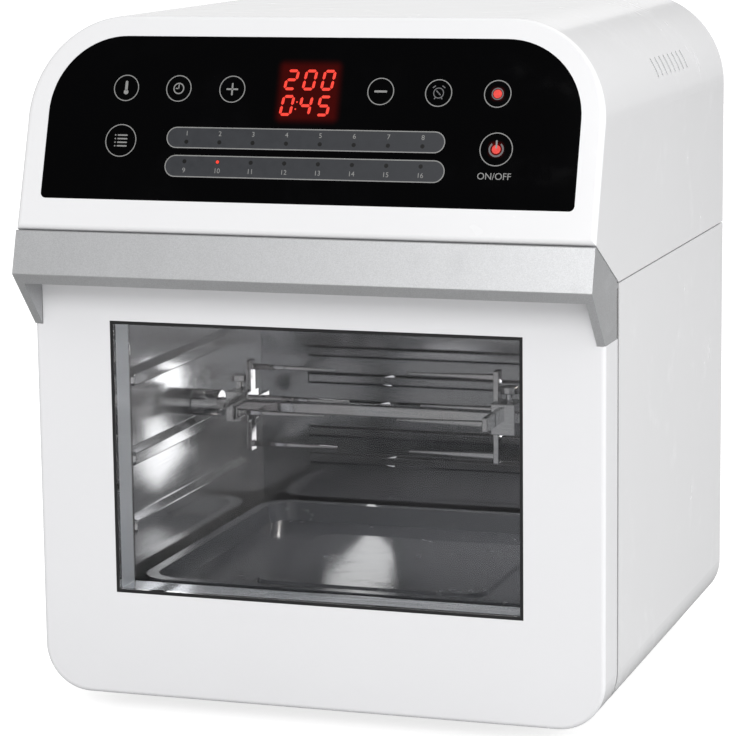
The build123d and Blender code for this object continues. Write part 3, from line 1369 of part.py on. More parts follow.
with BuildPart() as door_switch:
    with BuildSketch(front_plane(CAV_FRONT_D)):
        with Locations((-CATCH_X, SWITCH_H)):
            Rectangle(CATCH_W + 2 * STRIKE_WALL, SWITCH_TALL)
            Rectangle(PLUNGER_W + 2 * PLUNGER_PLAY, PLUNGER_W + 2 * PLUNGER_PLAY, mode=Mode.SUBTRACT)
    extrude(amount=-SWITCH_D)

with BuildPart() as switch_plunger:
    with BuildSketch(front_plane(PLUNGER_D)):
        with Locations((-CATCH_X, SWITCH_H)):
            Rectangle(PLUNGER_W, PLUNGER_W)
    extrude(amount=-PLUNGER_L)

# Hinge: brackets on the casing's floor, pins and blocks in the door

with BuildPart() as hinge_brackets:
    for side in (-1, 1):
        with BuildSketch(side_plane(side * HINGE_X - EAR_T / 2)):
            with Locations((HINGE_D, HINGE_H)):
                Circle(EAR_R)
            span_face(HINGE_D, BRACKET_D + BRACKET_L, HINGE_H - EAR_R, HINGE_H + EAR_R)
            span_face(BRACKET_D, BRACKET_D + BRACKET_L, WALL, HINGE_H)
            with Locations((HINGE_D, HINGE_H)):
                Circle(PIN_R + PIN_PLAY, mode=Mode.SUBTRACT)
        extrude(amount=EAR_T)
        with BuildSketch(level_plane(WALL)):
            with Locations((side * (HINGE_X - BRACKET_W / 2), BRACKET_D + BRACKET_L / 2)):
                Rectangle(BRACKET_W + EAR_T, BRACKET_L)
        extrude(amount=EAR_T)

with BuildPart() as hinge_blocks:
    for side in (-1, 1):
        with BuildSketch(side_plane(side * HINGE_X - BLOCK_W / 2)):
            span_face(DOOR_SKIN + SNUG, PLATE_D - SNUG, WALL + SNUG, BLOCK_TOP_H)
            with Locations((HINGE_D, HINGE_H)):
                Circle(PIN_R + PIN_PLAY, mode=Mode.SUBTRACT)
        extrude(amount=BLOCK_W)
    hinge_slots()

with BuildPart() as hinge_pins:
    for side in (-1, 1):
        with BuildSketch(side_plane(side * HINGE_X - PIN_L / 2)):
            with Locations((HINGE_D, HINGE_H)):
                Circle(PIN_R)
        extrude(amount=PIN_L)

pieces = {
    "upper_housing": upper_housing,
    "lower_housing": lower_housing,
    "fascia_glass": fascia_glass,
    "rubber_feet": rubber_feet,
    "rear_cover": rear_cover,
    "rear_vent_grille": rear_vent_grille,
    "cord_gland": cord_gland,
    "case_screws": case_screws,
    "front_frame": front_frame,
    "cavity_floor": cavity_floor,
    "cavity_rear_wall": cavity_rear_wall,
    "cavity_ceiling": cavity_ceiling,
    "door_seal": door_seal,
    "drip_tray": drip_tray,
    "heating_element": heating_element,
    "air_duct": air_duct,
    "fan_guard": fan_guard,
    "motor_shaft": motor_shaft,
    "circulation_fan": circulation_fan,
    "fan_nut": fan_nut,
    "cooling_fan": cooling_fan,
    "motor_rotor": motor_rotor,
    "motor_bracket": motor_bracket,
    "motor_bearings": motor_bearings,
    "motor_stator": motor_stator,
    "thermal_cutout": thermal_cutout,
    "display_board": display_board,
    "power_board": power_board,
    "rotisserie_motor": rotisserie_motor,
    "drive_socket": drive_socket,
    "spit_rod": spit_rod,
    "spit_cradle": spit_cradle,
    "lamp_lens": lamp_lens,
    "lamp_holder": lamp_holder,
    "lamp_bulb": lamp_bulb,
    "temperature_probe": temperature_probe,
    "door_panel": door_panel,
    "door_handle": door_handle,
    "handle_screws": handle_screws,
    "window_trim": window_trim,
    "outer_glass": outer_glass,
    "window_reveal": window_reveal,
    "inner_glass": inner_glass,
    "door_inner_frame": door_inner_frame,
    "door_catches": door_catches,
    "catch_strikes": catch_strikes,
    "door_switch": door_switch,
    "switch_plunger": switch_plunger,
    "hinge_brackets": hinge_brackets,
    "hinge_blocks": hinge_blocks,
    "hinge_pins": hinge_pins,
}
for piece_name, piece in pieces.items():
    write(piece.part, piece_name)
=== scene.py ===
from math import cos, pi, radians, sin, tan

import bmesh
import bpy
from mathutils import Matrix, Vector


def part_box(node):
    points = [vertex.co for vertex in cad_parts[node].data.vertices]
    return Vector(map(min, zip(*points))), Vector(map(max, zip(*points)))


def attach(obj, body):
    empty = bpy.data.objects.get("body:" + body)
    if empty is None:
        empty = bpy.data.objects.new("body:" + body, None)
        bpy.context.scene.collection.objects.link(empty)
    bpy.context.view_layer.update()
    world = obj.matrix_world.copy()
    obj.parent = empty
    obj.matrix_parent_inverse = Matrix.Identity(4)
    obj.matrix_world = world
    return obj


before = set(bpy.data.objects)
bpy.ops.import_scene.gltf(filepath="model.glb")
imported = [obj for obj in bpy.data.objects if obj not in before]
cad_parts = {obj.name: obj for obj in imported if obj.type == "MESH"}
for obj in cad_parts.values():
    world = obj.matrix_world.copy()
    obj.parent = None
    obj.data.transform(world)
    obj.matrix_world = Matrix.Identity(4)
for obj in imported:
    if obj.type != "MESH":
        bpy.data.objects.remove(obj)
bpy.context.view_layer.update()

# A countertop air-fryer oven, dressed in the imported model's own frame, in metres.
# X runs to the right, Y towards the back, and the oven stands on the floor at Z = 0.

MM = 0.001

# Camera, as the photograph was taken, with angles in degrees and its lens in mm
CAMERA_PLACE = (0.5205, -1.6028, 0.4663)
CAMERA_AZIMUTH = 18.435
CAMERA_ELEVATION = 9.779
CAMERA_ROLL = -0.686
CAMERA_LENS = 145.4
CAMERA_SENSOR = 36.0

# Slanted control panel
PANEL_LEAN = radians(18.05)
FASCIA_THICK = 2.2 * MM

# Prints on the panel, in mm across and up the slope from the lower edge of the glass.
# The bases and tops say how far each print stands out of the glass.
INK_BASE = 0.02
INK_TOP = 0.07
BAR_FILL_TOP = INK_BASE + 0.02
OVERPRINT_BASE = INK_TOP + 0.01
LIT_LAMP_TOP = INK_TOP + 0.03
POWER_BAR_TOP = INK_TOP + 0.04

# How many steps draw a round line, the end of a stroke and each small disc
ROUND_STEPS = 48
END_STEPS = 8
COLON_STEPS = 12
LIT_LAMP_STEPS = 16
LAMP_STEPS = 20
BULB_STEPS = 20
KEY_LAMP_STEPS = 24

# Keys: place across, place up the slope, ring radius
RING_W = 0.5
TEMPERATURE_KEY = (-103.8, 60.8, 7.2)
TIMER_KEY = (-73.7, 60.9, 7.2)
PLUS_KEY = (-43.3, 60.9, 7.3)
MINUS_KEY = (39.2, 60.8, 7.3)
ALARM_KEY = (70.7, 60.4, 7.3)
SPIT_KEY = (102.4, 60.4, 7.3)
MENU_KEY = (-104.1, 32.1, 8.9)
POWER_KEY = (104.0, 31.3, 8.85)
KEYS = (TEMPERATURE_KEY, TIMER_KEY, PLUS_KEY, MINUS_KEY, ALARM_KEY, SPIT_KEY, MENU_KEY, POWER_KEY)
KEY_LAMP_R = 2.3

# Symbols in the keys. Each stroke is its start and end, across and up from the key's middle.
THERMOMETER_STEM = ((0, -0.8, 0, 3.2),)
THERMOMETER_STEM_W = 1.5
THERMOMETER_BULB_DROP = 2.2
THERMOMETER_BULB_R = 1.35
CLOCK_R = 3.1
CLOCK_LINE_W = 0.65
CLOCK_HANDS = ((0, 0, 0, 2.0), (0, 0, -1.5, 0))
CLOCK_HAND_W = 0.6
PLUS_STROKES = ((-2.9, 0, 2.9, 0), (0, -2.9, 0, 2.9))
PLUS_W = 0.9
MINUS_STROKE = ((-3.0, 0, 3.0, 0),)
MINUS_W = 1.1
MENU_ROWS = 4
MENU_TOP = 2.9
MENU_PITCH = 1.95
MENU_LINE = (-1.7, 3.3)
MENU_DOT = (-3.3, -3.2)
MENU_LINE_W = 0.75
ALARM_R = 2.9
ALARM_LINE_W = 0.5
ALARM_HANDS = ((-1.1, 1.1, 0, 0), (0, 0, 0.9, -0.9))
ALARM_BELLS = ((-3.1, 2.9, -2.0, 3.7), (2.0, 3.7, 3.1, 2.9))
ALARM_FEET = ((-2.0, -3.0, -1.7, -2.5), (2.0, -3.0, 1.7, -2.5))
ALARM_STROKE_W = 0.6
SPIT_SYMBOL_R = 3.2
SPIT_SYMBOL_W = 0.55
POWER_ARC_R = 3.6
POWER_ARC_START, POWER_ARC_STOP = 130, 410
POWER_BAR_LOW, POWER_BAR_HIGH = 0.9, 4.4
POWER_LINE_W = 0.9

# Lit figures
DIGIT_W = 7.0
DIGIT_H = 11.2
DIGIT_PITCH = 10.2
DIGIT_STROKE = 1.5
DIGIT_SLANT = tan(radians(9.0))
SEGMENT_GAP = 0.25
TEMPERATURE_ROW = (-14.9, 60.8)
TIMER_ROW = (-16.2, 47.0)
TEMPERATURE_TEXT = "200"
TIMER_TEXT = "045"
COLON_DOT_R = 0.45
COLON_HEIGHTS = (0.33, 0.67)
DISPLAY_MIDDLE = (-0.4, 60.0)

# Programme bars, each its left, right, lower and upper edge, and their lamps.
# The lit programme is a place in the lower row, counted from 0.
UPPER_BAR = (-78.0, 76.5, 28.6, 40.1)
LOWER_BAR = (-77.6, 77.5, 13.0, 24.9)
BAR_LINE_W = 0.55
PROGRAMMES_A_ROW = 8
PROGRAMME_PITCH = 18.7
FIRST_LAMP_X = -66.5
UPPER_LAMPS_RISE = 32.1
LOWER_LAMPS_RISE = 21.5
UPPER_NUMBERS_RISE = 36.6
LOWER_NUMBERS_RISE = 16.6
LAMP_R = 1.15
LIT_LAMP_R = 0.9
LIT_PROGRAMME = 1
NUMBER_SIZE = 3.7
SWITCH_WORD = "ON/OFF"
SWITCH_WORD_SIZE = 5.0
SWITCH_WORD_RISE = 17.0

PANEL_ACROSS = Vector((1, 0, 0))
PANEL_UP = Vector((0, sin(PANEL_LEAN), cos(PANEL_LEAN)))
PANEL_OUT = Vector((0, -cos(PANEL_LEAN), sin(PANEL_LEAN)))
FASCIA_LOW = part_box("fascia_glass")[0]
PANEL_ORIGIN = Vector((0, FASCIA_LOW.y, FASCIA_LOW.z + FASCIA_THICK * sin(PANEL_LEAN)))


def panel_point(across, rise, proud=0.0):
    """A point on the control panel, in mm across, up the slope and out of the glass."""
    return PANEL_ORIGIN + MM * (across * PANEL_ACROSS + rise * PANEL_UP + proud * PANEL_OUT)


# Outlines of the prints, in mm on the panel


def circle(across, rise, radius, steps=ROUND_STEPS):
    """Points of a circle."""
    turns = [2 * pi * i / steps for i in range(steps)]
    return [(across + radius * cos(t), rise + radius * sin(t)) for t in turns]


def arc(across, rise, radius, start, stop, steps=ROUND_STEPS):
    """Points of an arc between two angles in degrees."""
    turns = [radians(start + (stop - start) * i / steps) for i in range(steps + 1)]
    return [(across + radius * cos(t), rise + radius * sin(t)) for t in turns]


def stadium(left, right, low, high, inset=0.0):
    """Points of a bar with round ends, drawn in by an inset."""
    middle = (high + low) / 2
    ends = (high - low) / 2
    radius = ends - inset
    near = arc(left + ends, middle, radius, 90, 270, 2 * END_STEPS)
    far = arc(right - ends, middle, radius, -90, 90, 2 * END_STEPS)
    return near + far


def stroke(start, stop, width):
    """Outline of a straight pen stroke with round ends."""
    run = Vector(stop) - Vector(start)
    heading = 180 / pi * (run.angle_signed(Vector((1, 0))) if run.length else 0.0)
    first = arc(*start, width / 2, heading + 90, heading + 270, END_STEPS)
    second = arc(*stop, width / 2, heading - 90, heading + 90, END_STEPS)
    return first + second


def arc_stroke(across, rise, radius, width, start, stop):
    """Outline of a curved pen stroke."""
    outer = arc(across, rise, radius + width / 2, start, stop)
    inner = arc(across, rise, radius - width / 2, stop, start)
    return outer + inner


# Ink: every print is a thin solid on the glass


def ink_loop(mesh, outline, proud):
    """One closed row of points at a height above the glass."""
    return [mesh.verts.new(panel_point(x, rise, proud)) for x, rise in outline]


def ink_wall(mesh, first, second):
    """Faces between two rows of points."""
    for i, point in enumerate(first):
        j = (i + 1) % len(first)
        mesh.faces.new((point, first[j], second[j], second[i]))


def ink_plate(mesh, outline, base=INK_BASE, top=INK_TOP):
    """A printed area inside one outline."""
    lower = ink_loop(mesh, outline, base)
    upper = ink_loop(mesh, outline, top)
    mesh.faces.new(upper)
    mesh.faces.new(list(reversed(lower)))
    ink_wall(mesh, lower, upper)


def ink_band(mesh, inner, outer):
    """A printed line between two outlines with as many points each."""
    rows = [ink_loop(mesh, line, proud) for line, proud in (
        (inner, INK_BASE), (inner, INK_TOP), (outer, INK_TOP), (outer, INK_BASE))]
    for i, row in enumerate(rows):
        ink_wall(mesh, row, rows[(i + 1) % len(rows)])


def ink_ring(mesh, across, rise, radius, width):
    """A printed circle line."""
    ink_band(mesh, circle(across, rise, radius - width), circle(across, rise, radius))


def ink_word(mesh, word, across, rise, size):
    """A word or number in a plain typeface, centred on a place."""
    letters = bpy.data.curves.new("letters", "FONT")
    letters.body = word
    letters.size = size
    letters.align_x = "CENTER"
    letters.align_y = "CENTER"
    letters.extrude = (INK_TOP - INK_BASE) / 2
    writing = bpy.data.objects.new("writing", letters)
    bpy.context.scene.collection.objects.link(writing)
    shape = writing.evaluated_get(bpy.context.evaluated_depsgraph_get()).to_mesh()
    shape.transform(Matrix.Translation((across, rise, (INK_TOP + INK_BASE) / 2)))
    turned = Matrix((PANEL_ACROSS, PANEL_UP, PANEL_OUT)).transposed().to_4x4()
    shape.transform(Matrix.Translation(PANEL_ORIGIN) @ turned @ Matrix.Scale(MM, 4))
    mesh.from_mesh(shape)
    bpy.data.objects.remove(writing)
    bpy.data.curves.remove(letters)


def finish_piece(mesh, name, material, body):
    """Turn a drawn mesh into a flat-shaded piece with its material, riding on a body."""
    bmesh.ops.recalc_face_normals(mesh, faces=mesh.faces)
    data = bpy.data.meshes.new(name)
    mesh.to_mesh(data)
    mesh.free()
    for face in data.polygons:
        face.use_smooth = False
    piece = bpy.data.objects.new(name, data)
    bpy.context.scene.collection.objects.link(piece)
    data.materials.append(material)
    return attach(piece, body)


# The means to wire shaders

# Sockets of a Mix node that mixes colours
MIX_SHARE, MIX_FIRST, MIX_SECOND = 0, 6, 7
MIX_RESULT = 2

# Kinds of socket that a group has
NUMBER = "NodeSocketFloat"
VECTOR = "NodeSocketVector"
COLOUR = "NodeSocketColor"

BEVEL_SAMPLES = 4


def feed(tree, socket, value):
    """Set an input to a plain value, or link an output to it."""
    if isinstance(value, bpy.types.NodeSocket):
        tree.links.new(value, socket)
    else:
        socket.default_value = value


def shader_node(tree, kind, feeds=None, **settings):
    """One shader node with its settings and what its inputs are fed."""
    node = tree.nodes.new(kind)
    for name, value in settings.items():
        setattr(node, name, value)
    for name, value in (feeds or {}).items():
        feed(tree, node.inputs[name], value)
    return node


def math_node(tree, operation, first, second=0.0):
    """Output of one sum on two values."""
    feeds = {0: first, 1: second}
    return shader_node(tree, "ShaderNodeMath", feeds, operation=operation).outputs[0]


def plus(tree, first, second):
    """Output of two values added."""
    return math_node(tree, "ADD", first, second)


def times(tree, first, second):
    """Output of two values multiplied."""
    return math_node(tree, "MULTIPLY", first, second)


def vector_node(tree, operation, first, second):
    """Outputs of one sum on two vectors."""
    feeds = {0: first, 1: second}
    return shader_node(tree, "ShaderNodeVectorMath", feeds, operation=operation).outputs


def noise(tree, coordinates, scale, detail=3.0, roughness=0.5, distortion=0.0):
    """Output of a noise that varies from 0 to 1."""
    feeds = {"Vector": coordinates, "Scale": scale, "Detail": detail, "Roughness": roughness,
             "Distortion": distortion}
    return shader_node(tree, "ShaderNodeTexNoise", feeds).outputs[0]


def cells(tree, coordinates, scale):
    """Outputs of a pattern of irregular cells."""
    feeds = {"Vector": coordinates, "Scale": scale}
    return shader_node(tree, "ShaderNodeTexVoronoi", feeds).outputs


def ramped(tree, value, low, high, first=0.0, last=1.0):
    """A value eased from first at low to last at high."""
    feeds = {"Value": value, "From Min": low, "From Max": high, "To Min": first, "To Max": last}
    node = shader_node(tree, "ShaderNodeMapRange", feeds, interpolation_type="SMOOTHSTEP")
    return node.outputs["Result"]


def mixed_colour(tree, share, first, second):
    """Two colours mixed by a share."""
    feeds = {MIX_SHARE: share, MIX_FIRST: first, MIX_SECOND: second}
    return shader_node(tree, "ShaderNodeMix", feeds, data_type="RGBA").outputs[MIX_RESULT]


def new_group(name, inputs, outputs):
    """An empty shader group with named sockets, its inputs and its outputs."""
    group = bpy.data.node_groups.new(name, "ShaderNodeTree")
    for socket, kind, value in inputs:
        group.interface.new_socket(socket, in_out="INPUT", socket_type=kind).default_value = value
    for socket, kind in outputs:
        group.interface.new_socket(socket, in_out="OUTPUT", socket_type=kind)
    start = group.nodes.new("NodeGroupInput")
    end = group.nodes.new("NodeGroupOutput")
    return group, start.outputs, end.inputs


def object_place(tree):
    """Coordinates in the oven's own frame."""
    return tree.nodes.new("ShaderNodeTexCoord").outputs["Object"]


def rounded_normal(tree, radius):
    """The surface's normal as if its edges were rounded by a radius."""
    feeds = {"Radius": radius}
    return shader_node(tree, "ShaderNodeBevel", feeds, samples=BEVEL_SAMPLES).outputs[0]


def grey(value):
    """A neutral colour."""
    return (value, value, value, 1)


def shaded(colour, factor):
    """A colour made lighter or darker, with its alpha."""
    return tuple(min(1.0, part * factor) for part in colour) + (1.0,)


# Groups of nodes that several finishes share

# Temper colours that heat leaves on steel, from bare through straw to blue, and their places
TEMPERS = (
    (0.3, (0.55, 0.56, 0.58, 1)),
    (0.48, (0.62, 0.50, 0.30, 1)),
    (0.6, (0.45, 0.26, 0.22, 1)),
    (0.75, (0.20, 0.24, 0.42, 1)),
)


def make_moulded_skin():
    """The faint ripple, grain and colour drift of a moulded or sprayed surface."""
    group, given, made = new_group(
        "moulded_skin",
        (("Grain Scale", NUMBER, 1500.0), ("Ripple Scale", NUMBER, 60.0),
         ("Drift Scale", NUMBER, 9.0)),
        (("Height", NUMBER), ("Drift", NUMBER)),
    )
    place = object_place(group)
    grain = noise(group, place, given["Grain Scale"], detail=2.0)
    ripple = noise(group, place, given["Ripple Scale"], detail=1.0)
    group.links.new(plus(group, times(group, grain, 0.25), ripple), made["Height"])
    group.links.new(noise(group, place, given["Drift Scale"], detail=2.0), made["Drift"])
    return group


def make_edge_wear_and_highlight():
    """A mask that is high where an edge is exposed, broken up by noise: edge wear, and a painted
    highlight along the edge.
    """
    group, given, made = new_group(
        "edge_wear_and_highlight",
        (("Radius", NUMBER, 0.6 * MM), ("Breakup Scale", NUMBER, 220.0), ("Amount", NUMBER, 0.5)),
        (("Mask", NUMBER),),
    )
    rounded = rounded_normal(group, given["Radius"])
    plain = group.nodes.new("ShaderNodeNewGeometry").outputs["Normal"]
    # The two normals agree on a flat face and part at its edges
    agreement = vector_node(group, "DOT_PRODUCT", rounded, plain)["Value"]
    edge = ramped(group, agreement, 0.995, 0.8)
    patches = noise(group, object_place(group), given["Breakup Scale"], detail=4.0, roughness=0.65)
    broken = times(group, edge, ramped(group, patches, 0.35, 0.7))
    group.links.new(times(group, broken, given["Amount"]), made["Mask"])
    return group


def make_settled_dust():
    """A mask for the thin dust that settles on faces that look up."""
    group, given, made = new_group(
        "settled_dust",
        (("Scale", NUMBER, 45.0), ("Amount", NUMBER, 0.2)),
        (("Mask", NUMBER),),
    )
    facing = group.nodes.new("ShaderNodeNewGeometry").outputs["Normal"]
    up = shader_node(group, "ShaderNodeSeparateXYZ", {0: facing}).outputs["Z"]
    patches = noise(group, object_place(group), given["Scale"], detail=5.0, roughness=0.7)
    lying = times(group, ramped(group, up, 0.3, 0.95), ramped(group, patches, 0.3, 0.75))
    group.links.new(times(group, lying, given["Amount"]), made["Mask"])
    return group


def make_finger_marks():
    """A mask of wiped and touched patches, which dull a glossy surface."""
    group, given, made = new_group(
        "finger_marks",
        (("Scale", NUMBER, 18.0), ("Amount", NUMBER, 0.5)),
        (("Mask", NUMBER),),
    )
    place = object_place(group)
    wiped = noise(group, place, given["Scale"], detail=4.0, distortion=1.2)
    touched = noise(group, place, times(group, given["Scale"], 6.0), detail=2.0)
    patch = times(group, ramped(group, wiped, 0.45, 0.75), ramped(group, touched, 0.25, 0.7))
    group.links.new(times(group, patch, given["Amount"]), made["Mask"])
    return group


def make_rolled_lines():
    """Fine lines left by rolling or brushing, along the axis with the smallest stretch."""
    group, given, made = new_group(
        "rolled_lines",
        (("Stretch", VECTOR, (30.0, 900.0, 900.0)), ("Wave Scale", NUMBER, 14.0)),
        (("Height", NUMBER), ("Streak", NUMBER)),
    )
    place = object_place(group)
    drawn = vector_node(group, "MULTIPLY", place, given["Stretch"])[0]
    fine = noise(group, drawn, 1.0, detail=4.0, roughness=0.6)
    broad = noise(group, place, given["Wave Scale"], detail=1.0)
    group.links.new(plus(group, times(group, fine, 0.15), broad), made["Height"])
    group.links.new(fine, made["Streak"])
    return group


def make_heat_tint():
    """Temper colours over a metal's own, in drifting patches."""
    group, given, made = new_group(
        "heat_tint",
        (("Metal", COLOUR, (0.5, 0.5, 0.5, 1.0)), ("Scale", NUMBER, 12.0), ("Amount", NUMBER, 0.2)),
        (("Color", COLOUR),),
    )
    patches = noise(group, object_place(group), given["Scale"], detail=3.0, distortion=0.6)
    tempers = shader_node(group, "ShaderNodeValToRGB", {0: patches})
    stops = tempers.color_ramp.elements
    bare, *between, blue = TEMPERS
    for stop, (position, colour) in ((stops[0], bare), (stops[1], blue)):
        stop.position, stop.color = position, colour
    for position, colour in between:
        stops.new(position).color = colour
    share = times(group, ramped(group, patches, 0.3, 0.7), given["Amount"])
    group.links.new(mixed_colour(group, share, given["Metal"], tempers.outputs[0]), made["Color"])
    return group


def make_lamp_halo():
    """The soft light that a lit figure spreads in the glass round it."""
    group, given, made = new_group(
        "lamp_halo",
        (("Centre", VECTOR, (0, 0, 0)), ("Half Width", NUMBER, 0.01),
         ("Half Height", NUMBER, 0.01), ("Spread", NUMBER, 0.005)),
        (("Mask", NUMBER),),
    )
    offset = vector_node(group, "SUBTRACT", object_place(group), given["Centre"])[0]
    squares = []
    for direction, half in ((PANEL_ACROSS, given["Half Width"]), (PANEL_UP, given["Half Height"])):
        along = vector_node(group, "DOT_PRODUCT", offset, direction)["Value"]
        outside = math_node(group, "SUBTRACT", math_node(group, "ABSOLUTE", along), half)
        reach = math_node(group, "MAXIMUM", outside, 0.0)
        squares.append(math_node(group, "POWER", reach, 2.0))
    away = math_node(group, "SQRT", plus(group, *squares))
    near = ramped(group, math_node(group, "DIVIDE", away, given["Spread"]), 0.0, 1.0, 1.0, 0.0)
    group.links.new(math_node(group, "POWER", near, 2.0), made["Mask"])
    return group


MOULDED_SKIN = make_moulded_skin()
EDGE_WEAR_AND_HIGHLIGHT = make_edge_wear_and_highlight()
SETTLED_DUST = make_settled_dust()
FINGER_MARKS = make_finger_marks()
ROLLED_LINES = make_rolled_lines()
HEAT_TINT = make_heat_tint()
LAMP_HALO = make_lamp_halo()


def grouped(tree, group, **values):
    """One of the shared groups placed in a material, with its own values."""
    node = tree.nodes.new("ShaderNodeGroup")
    node.node_tree = group
    for name, value in values.items():
        feed(tree, node.inputs[name.replace("_", " ")], value)
    return node.outputs


def new_finish(name, **constants):
    """A material with one Principled shader, whose plain sockets are set by name."""
    material = bpy.data.materials.new(name)
    material.use_nodes = True
    tree = material.node_tree
    shader = tree.nodes["Principled BSDF"]
    for socket, value in constants.items():
        shader.inputs[socket.replace("_", " ")].default_value = value
    return material, tree, shader


def dented(tree, shader, height, distance, strength=1.0, rounding=0.0):
    """Feed a height to the shader's normal, over edges rounded by a radius."""
    feeds = {"Height": height, "Distance": distance, "Strength": strength}
    if rounding:
        feeds["Normal"] = rounded_normal(tree, rounding)
    bump = shader_node(tree, "ShaderNodeBump", feeds)
    tree.links.new(bump.outputs[0], shader.inputs["Normal"])


def drifting_roughness(tree, shader, mask, low, high):
    """Roughness that goes from low to high with a mask."""
    tree.links.new(ramped(tree, mask, 0.0, 1.0, low, high), shader.inputs["Roughness"])


# Finishes

PALE_DUST = (0.62, 0.60, 0.57, 1)
DUST_ON_RUBBER = (0.30, 0.29, 0.27, 1)
FASCIA_BLACK = (0.0010, 0.0010, 0.0012, 1)
FASCIA_SMEAR = (0.0022, 0.0022, 0.0025, 1)
FASCIA_GLOW = (0.30, 0.008, 0.004, 1)
UNLIT_RED = (0.25, 0.02, 0.01, 1)
UNLIT_DARK_RED = (0.15, 0.01, 0.008, 1)
ENAMEL_SPECK = (0.22, 0.23, 0.24, 1)
BOARD_GREEN = (0.012, 0.085, 0.035, 1)
BOARD_PALE_GREEN = (0.02, 0.12, 0.05, 1)
BOARD_TRACK = (0.03, 0.16, 0.06, 1)
SOLDER = (0.55, 0.55, 0.52, 1)
SHEET_EDGE = 1.1 * MM

# How far the lines of rolled sheet metal are drawn out, across and along the oven
ACROSS_SHEET = (25.0, 900.0, 900.0)
ALONG_SHEET = (900.0, 25.0, 900.0)

# Light in the glass round what is lit: its centre, then its half width, half height and spread
# in mm, and its power
HALOS = (
    (panel_point(*DISPLAY_MIDDLE), 14.0, 13.0, 6.5, 0.16),
    (panel_point(*SPIT_KEY[:2]), 1.2, 1.2, 3.6, 0.5),
    (panel_point(*POWER_KEY[:2]), 1.4, 1.4, 4.2, 0.5),
    (panel_point(FIRST_LAMP_X + LIT_PROGRAMME * PROGRAMME_PITCH, LOWER_LAMPS_RISE),
     0.4, 0.4, 2.6, 0.3),
)


def gloss_moulding(name, colour, roughness=0.2, coat=0.25, wear=0.25, dust=0.12):
    """Glossy moulded or sprayed plastic."""
    material, tree, shader = new_finish(
        name, Coat_Weight=coat, Coat_Roughness=0.06, Specular_IOR_Level=0.32)
    skin = grouped(tree, MOULDED_SKIN)
    toned = mixed_colour(tree, skin["Drift"], shaded(colour, 0.975), shaded(colour, 1.015))
    # Exposed edges mixed to a lighter tone: wear, and a painted edge highlight
    edge = grouped(tree, EDGE_WEAR_AND_HIGHLIGHT, Amount=wear)["Mask"]
    edged = mixed_colour(tree, edge, toned, shaded(colour, 1.1))
    dusty = grouped(tree, SETTLED_DUST, Amount=dust)["Mask"]
    tree.links.new(mixed_colour(tree, dusty, edged, PALE_DUST), shader.inputs["Base Color"])
    marks = grouped(tree, FINGER_MARKS, Amount=0.6)["Mask"]
    drifting_roughness(tree, shader, plus(tree, marks, dusty), roughness, roughness + 0.16)
    dented(tree, shader, skin["Height"], 0.015 * MM, 0.6)
    return material


def satin_metallic_paint(name, colour):
    """Silver paint with fine flakes under a thin lacquer."""
    material, tree, shader = new_finish(
        name, Metallic=0.7, Coat_Weight=0.15, Coat_Roughness=0.2, Specular_IOR_Level=0.5)
    flakes = cells(tree, object_place(tree), 2600.0)["Color"]
    sparkle = shader_node(tree, "ShaderNodeSeparateColor", {0: flakes}).outputs[0]
    skin = grouped(tree, MOULDED_SKIN, Ripple_Scale=25.0)
    flaked = mixed_colour(tree, sparkle, shaded(colour, 0.9), shaded(colour, 1.1))
    toned = mixed_colour(tree, times(tree, skin["Drift"], 0.3), flaked, shaded(colour, 1.05))
    # Exposed edges mixed to a lighter tone: wear, and a painted edge highlight
    edge = grouped(tree, EDGE_WEAR_AND_HIGHLIGHT, Amount=0.4)["Mask"]
    edged = mixed_colour(tree, edge, toned, shaded(colour, 1.35))
    tree.links.new(edged, shader.inputs["Base Color"])
    marks = grouped(tree, FINGER_MARKS, Scale=22.0, Amount=0.8)["Mask"]
    drifting_roughness(tree, shader, marks, 0.42, 0.55)
    dented(tree, shader, plus(tree, skin["Height"], times(tree, sparkle, 0.1)), 0.04 * MM)
    return material


def black_glass_fascia(name):
    """Black-backed glass with the red light of its figures showing in it."""
    material, tree, shader = new_finish(name, Specular_IOR_Level=0.05, Emission_Strength=1.0)
    marks = grouped(tree, FINGER_MARKS, Scale=14.0, Amount=0.7)["Mask"]
    smeared = mixed_colour(tree, marks, FASCIA_BLACK, FASCIA_SMEAR)
    tree.links.new(smeared, shader.inputs["Base Color"])
    drifting_roughness(tree, shader, marks, 0.05, 0.2)
    halo = 0.0
    for centre, half_width, half_height, spread, power in HALOS:
        mask = grouped(
            tree, LAMP_HALO, Centre=centre, Half_Width=half_width * MM,
            Half_Height=half_height * MM, Spread=spread * MM)["Mask"]
        halo = plus(tree, times(tree, mask, power), halo)
    glow = mixed_colour(tree, halo, grey(0), FASCIA_GLOW)
    tree.links.new(glow, shader.inputs["Emission Color"])
    return material


def ink(name, colour):
    """Screen-printed ink, slightly uneven."""
    material, tree, shader = new_finish(name, Specular_IOR_Level=0.3)
    drift = grouped(tree, MOULDED_SKIN, Drift_Scale=260.0)["Drift"]
    toned = mixed_colour(tree, drift, shaded(colour, 0.85), shaded(colour, 1.12))
    tree.links.new(toned, shader.inputs["Base Color"])
    drifting_roughness(tree, shader, drift, 0.3, 0.5)
    return material


def lit_red(name, power, core, rim):
    """A lit red figure or lamp, a little uneven."""
    material, tree, shader = new_finish(name, Roughness=0.3, Emission_Strength=power)
    drift = grouped(tree, MOULDED_SKIN, Drift_Scale=700.0)["Drift"]
    tree.links.new(mixed_colour(tree, drift, core, rim), shader.inputs["Emission Color"])
    unlit = mixed_colour(tree, drift, UNLIT_RED, UNLIT_DARK_RED)
    tree.links.new(unlit, shader.inputs["Base Color"])
    return material


